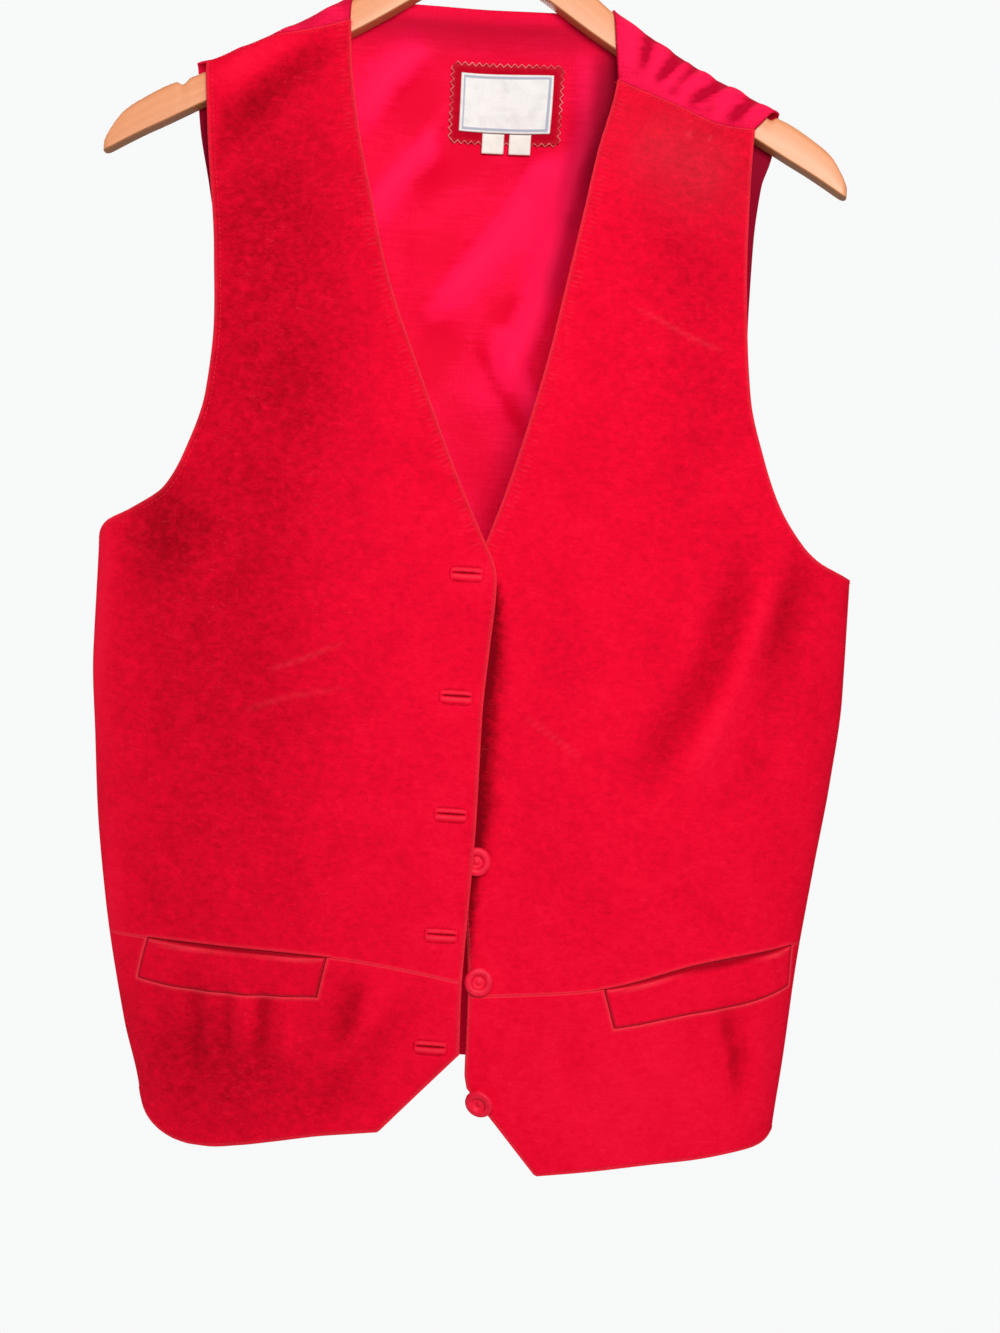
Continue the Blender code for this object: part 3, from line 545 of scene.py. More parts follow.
# How many kept cells meet at each place of a grid: none off the piece, four inside it
def cellsAround(keep):
    padded = np.pad(keep, 1).astype(int)
    return padded[1:, 1:] + padded[:-1, 1:] + padded[1:, :-1] + padded[:-1, :-1]


# A closed thin shell on a grid of places and normals, round along its rim
def shell(name, place, normal, wall, looks, keep=None, lift=0.0, isSeam=None, marks=None, puff=0.0):
    keep = allCells(place) if keep is None else keep
    around = cellsAround(keep)
    rimmed = (around > 0) & (around < 4)
    lines = rimLines(keep)
    starts, ends = place[lines[:, 0], lines[:, 1]], place[lines[:, 2], lines[:, 3]]
    middle = (lines[:, :2] + lines[:, 2:]) / 2
    seam = np.zeros(len(lines), bool) if isSeam is None else isSeam(middle[:, 0], middle[:, 1])
    edge, join = (nearestLine(place.reshape(-1, 3), starts[kind], ends[kind]).reshape(around.shape)
                  for kind in (~seam, seam))
    rim = np.where(rimmed, 0.0, np.minimum(edge, join))
    reach = np.where(join < edge, suedeForm["seamRound"], suedeForm["edgeRound"] * wall / suedeForm["wall"])
    roundness = np.sqrt(1 - (1 - np.clip(rim / reach, 0.0, 1.0)) ** 2)
    roundness = np.where(rimmed & (join < edge), suedeForm["seamRim"], roundness)
    swell = puff * np.sin(math.pi * np.clip(edge / suedeForm["edgeBand"], 0.0, 1.0)) ** 0.7
    outer = place + normal * (lift + swell - wall / 2 * (1 - roundness))[..., None]
    inner = place + normal * (lift - wall / 2 * (1 + roundness))[..., None]
    return closedPiece(name, outer, inner, normal, keep, looks, {"edge": edge, "seam": join, **(marks or {})})


# A closed piece between an outer and an inner grid, which meet on the rim of the kept cells
def closedPiece(name, outer, inner, normal, keep, looks, marks):
    around = cellsAround(keep)
    used, free = around > 0, around == 4
    index = np.full(around.shape, -1)
    index[used] = np.arange(used.sum())
    under = index.copy()
    under[free] = used.sum() + np.arange(free.sum())
    corners = [(slice(0, -1), slice(0, -1)), (slice(0, -1), slice(1, None)),
               (slice(1, None), slice(1, None)), (slice(1, None), slice(0, -1))]
    a, b, c, d = (outer[key][keep] for key in corners)
    facing = (np.cross(c - a, d - b) * normal[corners[0]][keep]).sum(-1)
    order = corners if np.median(facing) > 0 else corners[::-1]
    quads = np.concatenate((np.stack([index[key][keep] for key in order], -1),
                            np.stack([under[key][keep] for key in order[::-1]], -1)))
    marks = {key: np.concatenate((found[used], found[free])) for key, found in marks.items()}
    mesh = newMesh(name, np.concatenate((outer[used], inner[free])), quads.tolist(), looks, marks)
    inside = np.repeat((0, len(looks) - 1), len(quads) // 2).astype(np.int32)
    mesh.polygons.foreach_set("material_index", inside)
    return linked(name, mesh)


def newMesh(name, points, faces, looks, marks=()):
    mesh = bpy.data.meshes.new(name)
    mesh.from_pydata((np.array(points) * mm).tolist(), [], faces)
    for key, values in dict(marks).items():
        layer = mesh.attributes.new(key, "FLOAT", "POINT")
        layer.data.foreach_set("value", np.array(values, np.float32))
    for look in looks:
        mesh.materials.append(look)
    mesh.shade_smooth()
    return mesh


# Faces round a row of rings of places, with a flat end on the first and the last
def tubeFaces(rings, sides):
    faces, last = [], (rings - 1) * sides
    for first in range(0, last, sides):
        for k in range(sides):
            after = (k + 1) % sides
            faces.append((first + k, first + after, first + sides + after, first + sides + k))
    return faces + [tuple(range(sides))[::-1], tuple(range(last, last + sides))]


def linked(name, mesh):
    made = bpy.data.objects.new(name, mesh)
    bpy.context.collection.objects.link(made)
    return made


def finishPiece(piece, node):
    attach(piece, "root")
    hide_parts(node)
    return piece


# Shader sums: a Wire holds a socket, and sums on it add Math nodes
class Wire:
    def __init__(self, tree, socket=None):
        self.tree, self.socket = tree, socket

    def node(self, kind, settings, sockets, out=0):
        made = self.tree.nodes.new("ShaderNode" + kind)
        for key, value in settings.items():
            if key == "stops":
                while len(made.color_ramp.elements) < len(value):
                    made.color_ramp.elements.new(0.5)
                for element, (position, colour) in zip(made.color_ramp.elements, value):
                    element.position, element.color = position, (*colour, 1.0)
            else:
                setattr(made, key, value)
        for key, value in sockets.items():
            if isinstance(value, Wire):
                self.tree.links.new(value.socket, made.inputs[key])
            else:
                made.inputs[key].default_value = value
        return Wire(self.tree, made.outputs[out])

    def maths(self, operation, *values):
        return self.node("Math", {"operation": operation}, dict(enumerate(values)))

    def __add__(self, other):
        return self.maths("ADD", self, other)

    def __sub__(self, other):
        return self.maths("SUBTRACT", self, other)

    def __rsub__(self, other):
        return self.maths("SUBTRACT", other, self)

    def __mul__(self, other):
        return self.maths("MULTIPLY", self, other)

    __radd__ = __add__
    __rmul__ = __mul__

    def step(self, low, high):  # soft step from 0 at low to 1 at high
        ends = {"From Min": low, "From Max": high, "Value": self}
        return self.node("MapRange", {"interpolation_type": "SMOOTHSTEP"}, ends)

    def noise(self, scale, detail, roughness=0.5, distortion=0.0):
        sockets = {"Vector": self, "Scale": scale, "Detail": detail, "Roughness": roughness}
        return self.node("TexNoise", {}, {**sockets, "Distortion": distortion})

    def stretched(self, scale, turn=(0, 0, 0)):
        return self.node("Mapping", {}, {"Vector": self, "Scale": scale, "Rotation": turn})

    def attribute(self, name):
        return self.node("Attribute", {"attribute_name": name}, {}, "Fac")

    def blend(self, first, second):  # this value as the share of the second colour
        sockets = {0: self, 6: colourOf(first), 7: colourOf(second)}
        return self.node("Mix", {"data_type": "RGBA"}, sockets, 2)


def colourOf(value):
    return value if isinstance(value, Wire) else (*value, 1.0)


def newFinish(name, **constants):
    finish = bpy.data.materials.new(name)
    finish.use_nodes = True
    shader = finish.node_tree.nodes["Principled BSDF"]
    for key, value in constants.items():
        shader.inputs[key].default_value = (*value, 1.0) if isinstance(value, tuple) else value
    wire = Wire(finish.node_tree)
    coords = wire.node("TexCoord", {}, {}, "Object")

    def feed(**sockets):
        for key, value in sockets.items():
            if key == "Bump":
                height, distance, strength = value
                inputs = {"Height": height, "Distance": distance, "Strength": strength}
                key, value = "Normal", wire.node("Bump", {}, inputs)
            finish.node_tree.links.new(value.socket, shader.inputs[key.replace("_", " ")])
        return finish

    return coords, feed


suedeLook = {
    "deep": (0.40, 0.0010, 0.010),
    "middle": (0.77, 0.0020, 0.024),
    "light": (0.93, 0.008, 0.044),
    "darkest": (0.20, 0.0004, 0.005),
    "pale": (0.90, 0.080, 0.110),
    "stitchLine": suedeForm["edgeBand"],
    "pullStep": 3.1,
}


def suedeFinish(name, darker=1.0):
    coords, feed = newFinish(name, **{
        "Sheen Weight": 0.12, "Sheen Roughness": 0.5, "Sheen Tint": (1.0, 0.03, 0.08),
        "Specular IOR Level": 0.03})
    darkest, deep, middle, light, pale = (
        tuple(v * darker for v in suedeLook[key]) for key in ("darkest", "deep", "middle", "light", "pale"))
    edge, seam, fold = coords.attribute("edge"), coords.attribute("seam"), coords.attribute("fold")
    clouds = coords.noise(38.0, 3.0, 0.6, 0.5)
    patches = coords.stretched((170, 170, 210)).noise(1.0, 4.0, 0.65, 0.6)
    pebble = coords.noise(260.0, 5.0, 0.7, 0.4)
    wisps = coords.stretched((170, 170, 620), (0, 0.35, 0)).noise(1.0, 4.0, 0.7, 0.6)
    grain = coords.noise(900.0, 3.0, 0.7)
    # pile laid another way, with painted shade and highlight
    brushedAndPaintedLight = coords.attribute("nap")
    mottle = (patches - 0.5) * (0.24 - 0.5 * brushedAndPaintedLight) + 0.21
    # 0.026 times the crease height paints shade into troughs and light onto ridges
    nap = 0.14 * clouds + mottle + 0.22 * pebble + 0.22 * wisps + 0.55 * brushedAndPaintedLight + 0.026 * fold
    stops = ((0.04, darkest), (0.24, deep), (0.50, middle), (0.76, light))
    tone = nap.node("ValToRGB", {"stops": stops}, {"Fac": nap})
    hairs = coords.stretched((210, 210, 640), (0, 0.5, 0)).noise(1.0, 3.0, 0.7, 0.8).step(0.60, 0.74)
    hairs = hairs * clouds.step(0.36, 0.66)
    worn = (1.0 - (edge + grain * 1.2 - 0.6).step(0.1, 0.9)) * 0.38
    worn = worn.maths("MAXIMUM", worn, (1.0 - edge.step(0.6, 3.2)) * 0.15)
    worn = worn.maths("MAXIMUM", worn, 0.34 * coords.attribute("lip"))
    beat = coords.attribute("neckRun") * (2 * math.pi / suedeLook["pullStep"]) + 2.5 * patches
    pulls = beat.maths("SINE", beat).step(-0.1, 1.0) * coords.noise(150.0, 2.0).step(0.36, 0.66)
    pulls = pulls * coords.attribute("pucker") * (1.0 - edge.step(7.0, 10.0)) * edge.step(0.8, 3.0)
    scuffedAndSeamHighlight = pulls.maths("MAXIMUM", pulls * 0.10, hairs * (0.09 - 0.36 * brushedAndPaintedLight))
    scuffedAndSeamHighlight = worn.maths("MAXIMUM", worn, scuffedAndSeamHighlight + 0.13 * coords.attribute("scuff"))
    # a painted highlight along each seam, joined to the wear
    scuffedAndSeamHighlight = seam.maths("MAXIMUM", scuffedAndSeamHighlight, (1.0 - seam.step(0.4, 1.5)) * 0.22)
    colour = scuffedAndSeamHighlight.blend(tone, pale)
    # painted shade in the groove of each stitch row, and where a welt is sewn in or its mouth opens
    line = edge - suedeLook["stitchLine"]
    groove = line.maths("EXPONENT", line * line * -2.2) * coords.attribute("groove")
    shade = groove.maths("MAXIMUM", groove * 0.20, 0.72 * coords.attribute("tucked"))
    colour = shade.blend(colour, darkest)
    height = 0.30 * wisps + 0.45 * grain + 0.55 * patches - 0.45 * groove + 0.5 * pulls
    return feed(Base_Color=colour, Roughness=0.82 + 0.14 * patches, Bump=(height, 0.0010, 0.55))


satinLook = {
    "lining": {"deep": (0.74, 0.0010, 0.026), "light": (0.98, 0.008, 0.076), "roughness": 0.50},
    "back": {"deep": (0.44, 0.0006, 0.020), "light": (0.93, 0.008, 0.068), "roughness": 0.52},
    "hollow": (0.17, 0.0004, 0.010),
}


def satinFinish(name, look):
    coords, feed = newFinish(name, **{
        "Sheen Weight": 0.06, "Sheen Roughness": 0.4, "Sheen Tint": (1.0, 0.1, 0.22),
        "Specular IOR Level": 0.14, "Specular Tint": (1.0, 0.12, 0.26), "Anisotropic": 0.35})
    threads = coords.stretched((1700, 1700, 240)).noise(1.0, 2.0, 0.5)
    slubs = coords.stretched((60, 60, 700)).noise(1.0, 3.0, 0.6)
    clouds = coords.noise(18.0, 3.0, 0.5)
    # the crease mark paints light onto folds and shade between them
    share = 0.4 * clouds + 0.3 * slubs + 0.2 * threads + 0.05 + 0.16 * coords.attribute("fold")
    colour = share.step(0.3, 0.7).blend(look["deep"], look["light"])
    seam = coords.attribute("seam")
    edge = coords.attribute("edge")
    # painted shade beside seams and edges
    near = seam.maths("MAXIMUM", 1.0 - seam.step(0.3, 1.4), 1.0 - edge.step(0.3, 1.6))
    colour = (near * 0.10).blend(colour, tuple(v * 0.4 for v in look["deep"]))
    # painted shade in the hollows by the armholes, under the neck and beside the left front
    colour = coords.attribute("hollow").blend(colour, satinLook["hollow"])
    gloss = look["roughness"] - 0.05 + 0.14 * slubs
    return feed(Base_Color=colour, Roughness=gloss, Bump=(0.6 * threads + 0.4 * slubs, 0.0003, 0.35))


def threadFinish(name, dark, light):
    coords, feed = newFinish(name, **{
        "Sheen Weight": 0.05, "Sheen Tint": (1.0, 0.2, 0.2), "Specular IOR Level": 0.15})
    twist = coords.noise(1400.0, 2.0, 0.6)
    wear = coords.noise(70.0, 3.0, 0.6)
    colour = (0.4 * twist + 0.6 * wear).step(0.36, 0.66).blend(dark, light)
    return feed(Base_Color=colour, Roughness=0.62 + 0.2 * twist, Bump=(twist, 0.0002, 0.5))


def plasticFinish():
    coords, feed = newFinish("buttonPlastic", **{
        "Specular IOR Level": 0.14, "Coat Weight": 0.02, "Coat Roughness": 0.4})
    swirl = coords.noise(140.0, 4.0, 0.6, 1.5)
    colour = swirl.step(0.3, 0.75).blend((0.72, 0.004, 0.030), (0.87, 0.011, 0.048))
    fine = coords.noise(1100.0, 2.0)
    return feed(Base_Color=colour, Roughness=0.42 + 0.14 * swirl, Bump=(fine, 0.0001, 0.25))


def tapeFinish(name, ground, line):
    coords, feed = newFinish(name, **{"Sheen Weight": 0.1, "Specular IOR Level": 0.3})
    bands = {"Vector": coords, "Scale": 420.0, "Distortion": 0.6}
    across, along = (coords.node("TexWave", {"bands_direction": way}, bands) for way in "ZX")
    weave = 0.5 * across + 0.5 * along
    soil = coords.noise(120.0, 3.0, 0.6)
    border = coords.attribute("border")
    colour = soil.step(0.35, 0.8).blend(ground, tuple(v * 0.86 for v in ground))
    colour = (weave * 0.18).blend(colour, tuple(v * 0.7 for v in ground))
    colour = border.blend(colour, line)
    return feed(Base_Color=colour, Roughness=0.6 + 0.2 * weave, Bump=(weave, 0.0002, 0.5))


def woodFinish():
    coords, feed = newFinish("hangerWood", **{"Specular IOR Level": 0.4, "Coat Roughness": 0.25})
    along, across = coords.attribute("along"), coords.attribute("across")
    deep = coords.node("SeparateXYZ", {}, {"Vector": coords}, "Y")
    board = coords.node("CombineXYZ", {}, {"X": along * 0.012, "Y": across * 0.10, "Z": deep * 120.0})
    bend = board.noise(1.0, 3.0, 0.5)
    rings = bend.maths("SINE", across * 0.9 + deep * 260.0 + bend * 9.0)
    pores = coords.node("CombineXYZ", {}, {"X": along * 0.10, "Y": across * 3.0, "Z": deep * 2600.0})
    fine = pores.noise(1.0, 4.0, 0.7)
    share = 0.04 * rings + 0.50 * fine + 0.35 * bend
    stops = ((0.20, (0.66, 0.24, 0.095)), (0.50, (0.76, 0.305, 0.135)), (0.80, (0.82, 0.35, 0.165)))
    colour = share.node("ValToRGB", {"stops": stops}, {"Fac": share})
    # painted shade on the underside of the arms
    colour = (coords.attribute("under") * 0.8).blend(colour, (0.36, 0.15, 0.055))
    return feed(Base_Color=colour, Roughness=0.36 + 0.18 * fine, Coat_Weight=0.12 + 0.1 * bend,
                Bump=(fine, 0.0003, 0.3))


def steelFinish():
    coords, feed = newFinish("hookSteel", **{"Metallic": 1.0})
    drawn = coords.noise(900.0, 3.0, 0.6)
    tarnish = coords.noise(110.0, 3.0, 0.6)
    colour = tarnish.step(0.35, 0.75).blend((0.66, 0.66, 0.67), (0.48, 0.47, 0.46))
    return feed(Base_Color=colour, Roughness=0.22 + 0.2 * drawn, Bump=(drawn, 0.0001, 0.2))


finishes = {
    "suede": suedeFinish("suede"),
    "patchSuede": suedeFinish("patchSuede", 0.62),
    "lining": satinFinish("liningSatin", satinLook["lining"]),
    "back": satinFinish("backSatin", satinLook["back"]),
    "thread": threadFinish("sewingThread", (0.62, 0.006, 0.022), (0.80, 0.03, 0.06)),
    "overcast": threadFinish("overcastThread", (0.70, 0.05, 0.06), (0.90, 0.30, 0.28)),
    "plastic": plasticFinish(),
    "label": tapeFinish("labelTape", (0.86, 0.83, 0.80), (0.40, 0.42, 0.50)),
    "tag": tapeFinish("tagTape", (0.88, 0.83, 0.76), (0.88, 0.83, 0.76)),
    "wood": woodFinish(),
    "steel": steelFinish(),
}
print("finishes made:", len(finishes))

seamRoutes = []  # rows of stitches, as lists of places, filled by the pieces that carry them
threadLift = 0.12


# A row of stitches along a line of edge places, moved over the surface of a front towards its middle
def stitchRow(front, edge, inset, middle):
    normal = front.normal(loopAngle(edge[:, 0], edge[:, 2]), edge[:, 2])
    inward = np.cross(normal, np.gradient(edge, axis=0))
    inward /= np.linalg.norm(inward, axis=1, keepdims=True)
    inward *= np.sign(np.median((inward * (middle - edge)).sum(1)))
    moved = edge + inward * inset
    moved = moved[nearestLine(moved, edge[:-1], edge[1:]) > abs(inset) * 0.93]
    seamRoutes.append(front.on(moved[:, 0], moved[:, 2], threadLift))


# How far along a line the nearest place on it lies, for each of the points
def runAlong(line, points):
    run = np.concatenate(([0.0], np.cumsum(np.linalg.norm(np.diff(line, axis=0), axis=1))))
    even = np.arange(0.0, run[-1], 0.4)
    fine = np.stack([np.interp(even, run, line[:, k]) for k in range(3)], -1)
    gaps = np.linalg.norm(points[:, None, :] - fine, axis=-1)
    return even[gaps.argmin(1)]


def suedeShell(name, place, normal, marks, isSeam, **settings):
    looks = finishes["suede"], finishes["lining"]
    return shell(name, place, normal, suedeForm["wall"], looks, isSeam=isSeam, marks=marks, **settings)


def buildFrontUpper(front):
    def bottom(x):
        return front.waist(x) + closedGap / 2

    def top(x):
        return front.shoulder(x) - closedGap

    panel = Panel(front.outer, front.inner, bottom, top, front.waist(0.0), top(front.armhole(ridge(0.0))))
    foot, head = panel.ends[0][0], panel.ends[1][0]
    armpit = (front.armpit - foot) / (head - foot)
    across, toArmpit, overArmpit = suedeForm["upperSteps"]
    shares = refined(stations((1.0, across)), suedeForm["upperWidth"])
    ups = refined(stations((armpit, toArmpit), (1.0, overArmpit)), head - foot)
    armpitRow = int(np.argmin(np.abs(ups - armpit)))
    angle, z = panel.at(shares[None, :], ups[:, None])
    place = front.place(angle, z)
    lastRow = len(ups) - 1
    mouthFrom, mouthTo = sorted(front.cut["pocket"])

    def isSeam(row, column):
        x = place[0, column.astype(int), 0]
        atWaist = (row == 0) & ((x < mouthFrom) | (x > mouthTo))
        return atWaist | (row == lastRow) | ((column == 0) & (row < armpitRow))

    plain = np.minimum(fromLine(place, place[armpitRow:, 0]), fromLine(place, place[0]))
    pucker = front.pucker(place[..., 0], z)
    neckRun = np.zeros(z.shape)
    neckRun[pucker > 0] = runAlong(place[:, -1], place[pucker > 0])
    marks = {**front.marks(place), "pucker": pucker, "neckRun": neckRun, "groove": eased(5.0, 8.0, plain)}
    piece = suedeShell(f"front{front.name.capitalize()}Upper", place, front.normal(angle, z), marks, isSeam,
                       puff=suedeForm["bandPuff"])
    finishPiece(piece, f"front_{front.name}_upper")
    middle = place[len(ups) // 2, len(shares) // 2]
    stitchRow(front, place[:, -1], suedeForm["edgeBand"], middle)
    stitchRow(front, place[armpitRow:, 0], front.cut["armBand"], middle)
    stitchRow(front, place[-1, 2:-2], suedeForm["shoulderBand"], middle)
    return piece


def pocketShares(front, warped):
    shares = []
    for x, lean in zip(front.cut["pocket"], front.cut["pocketLean"]):
        z = front.waist(x)
        start = 0.0 if front.side > 0 else math.pi
        inner = loopAngle(front.inner(z), z)
        shares.append((loopAngle(x + lean * warped, z) - start) / (inner - start))
    return shares


# How much lower than its outer end the foot of a pocket hangs, at a share of the way in
def pocketSag(front, share):
    share = np.clip(share, 0.0, 1.0) ** suedeForm["sagPower"]
    return front.cut["pocketSag"] * np.sin(math.pi * suedeForm["sagReach"] * share)


def buildFrontLower(front):
    height = suedeForm["pocketHeight"]
    start, end = (x + lean for x, lean in zip(front.cut["pocket"], front.cut["pocketLean"]))

    def pocketFoot(x):
        return front.waist(x) - height - pocketSag(front, (x - start) / (end - start))

    def top(x):
        return front.waist(x) - closedGap / 2

    low = Panel(front.outer, front.inner, front.hem, pocketFoot, front.cut["cutaway"][1], pocketFoot(0.0))
    high = Panel(front.outer, front.inner, pocketFoot, top, pocketFoot(0.0), top(0.0))
    pocket, leaned = pocketShares(front, 0.0), pocketShares(front, 1.0)
    lean = Curve([(0.0, 0.0), *((p, q - p) for p, q in zip(pocket, leaned)), (1.0, 0.0)])
    stops = zip((*pocket, 1.0), suedeForm["lowerSteps"])
    shares = refined(stations(*stops), suedeForm["lowerWidth"], (0.0, *pocket, 1.0))
    lowUps = refined(stations((1.0, suedeForm["lowerRows"])), suedeForm["lowerHeight"])
    highUps = refined(stations((1.0, suedeForm["pocketRows"])), height)
    lowAngle, lowZ = low.at(shares + lean(shares) * lowUps[:, None], lowUps[:, None])
    highAngle, highZ = high.at(shares + lean(shares) * (1 - highUps[1:, None]), highUps[1:, None])
    angle, z = np.concatenate((lowAngle, highAngle)), np.concatenate((lowZ, highZ))
    place = front.place(angle, z)
    first, last = (int(np.argmin(np.abs(shares - mark))) for mark in pocket)
    windowRow = len(lowUps) - 1
    keep = allCells(z)
    keep[windowRow:, first:last] = False
    lastRow = len(z) - 1

    def isSeam(row, column):
        return (row == lastRow) | (column == 0)

    upLeft, foot, upRight = place[windowRow:, first], place[windowRow, first:last], place[windowRow:, last]
    window = np.concatenate((upLeft[::-1], foot, upRight))
    fromWindow = fromLine(place, window)
    marks = {**front.marks(place), "groove": eased(4.0, 7.0, fromWindow),
             "lip": 1 - eased(0.6, 1.9, fromWindow)}
    piece = suedeShell(f"front{front.name.capitalize()}Lower", place, front.normal(angle, z), marks, isSeam,
                       keep=keep, puff=suedeForm["bandPuff"])
    finishPiece(piece, f"front_{front.name}_lower")
    middle = place[windowRow // 2, len(shares) // 2]
    stitchRow(front, np.concatenate((place[0, 3:], place[1:, -1])), suedeForm["edgeBand"], middle)
    return piece, buildWelt(front, high, shares[first:last + 1], lean)


def buildWelt(front, window, shares, lean):
    width = abs(front.cut["pocket"][0] - front.cut["pocket"][1])
    inset = closedGap / width
    across = refined(stations((1.0, suedeForm["weltSteps"])), width)
    shares = between(shares[0], shares[-1], between(inset, 1 - inset, across))
    height = suedeForm["pocketHeight"] + pocketSag(front, across)
    gape, towards, full = front.cut["pocketMouth"]
    mouth = seamGap + (gape - seamGap) * np.abs(np.sin(math.pi * across ** towards)) ** full
    rows = refined(stations((1.0, suedeForm["pocketRows"])), suedeForm["pocketHeight"])[:, None]
    ups = between(closedGap / height, 1 - seamGap / height, rows)
    angle, z = window.at(shares + lean(shares) * (1 - ups), ups)
    place, normal = front.place(angle, z), front.normal(angle, z)
    underLip = (1 - ups) * height - mouth
    inSlot = 1 - eased(-0.8, 0.1, underLip)

    def isSeam(row, column):  # sewn in all round
        return np.ones(row.shape, bool)

    sewnIn = np.concatenate((place[::-1, 0], place[0], place[:, -1]))
    # painted shade where the welt is sewn in under the panels, and in its mouth
    tucked = 1 - eased(0.4, 2.0, fromLine(place, sewnIn))
    marks = {**front.marks(place), "groove": np.zeros(z.shape), "tucked": np.maximum(tucked, inSlot),
             "lip": np.exp(-((underLip - 0.7) / 0.7) ** 2) * (1 - tucked)}
    place = place - normal * inSlot[..., None] * suedeForm["slotDepth"]
    piece = suedeShell("pocketWelt" + front.name.capitalize(), place, normal, marks, isSeam,
                       lift=suedeForm["weltLift"])
    return finishPiece(piece, f"pocket_welt_{front.name}")


fronts = {name: Front(name) for name in frontCut}
sheets = {}
for name, front in fronts.items():
    sheets[f"{name}Upper"] = buildFrontUpper(front)
    sheets[f"{name}Lower"], sheets[f"{name}Welt"] = buildFrontLower(front)
print("suede fronts made, rows of stitches:", len(seamRoutes))


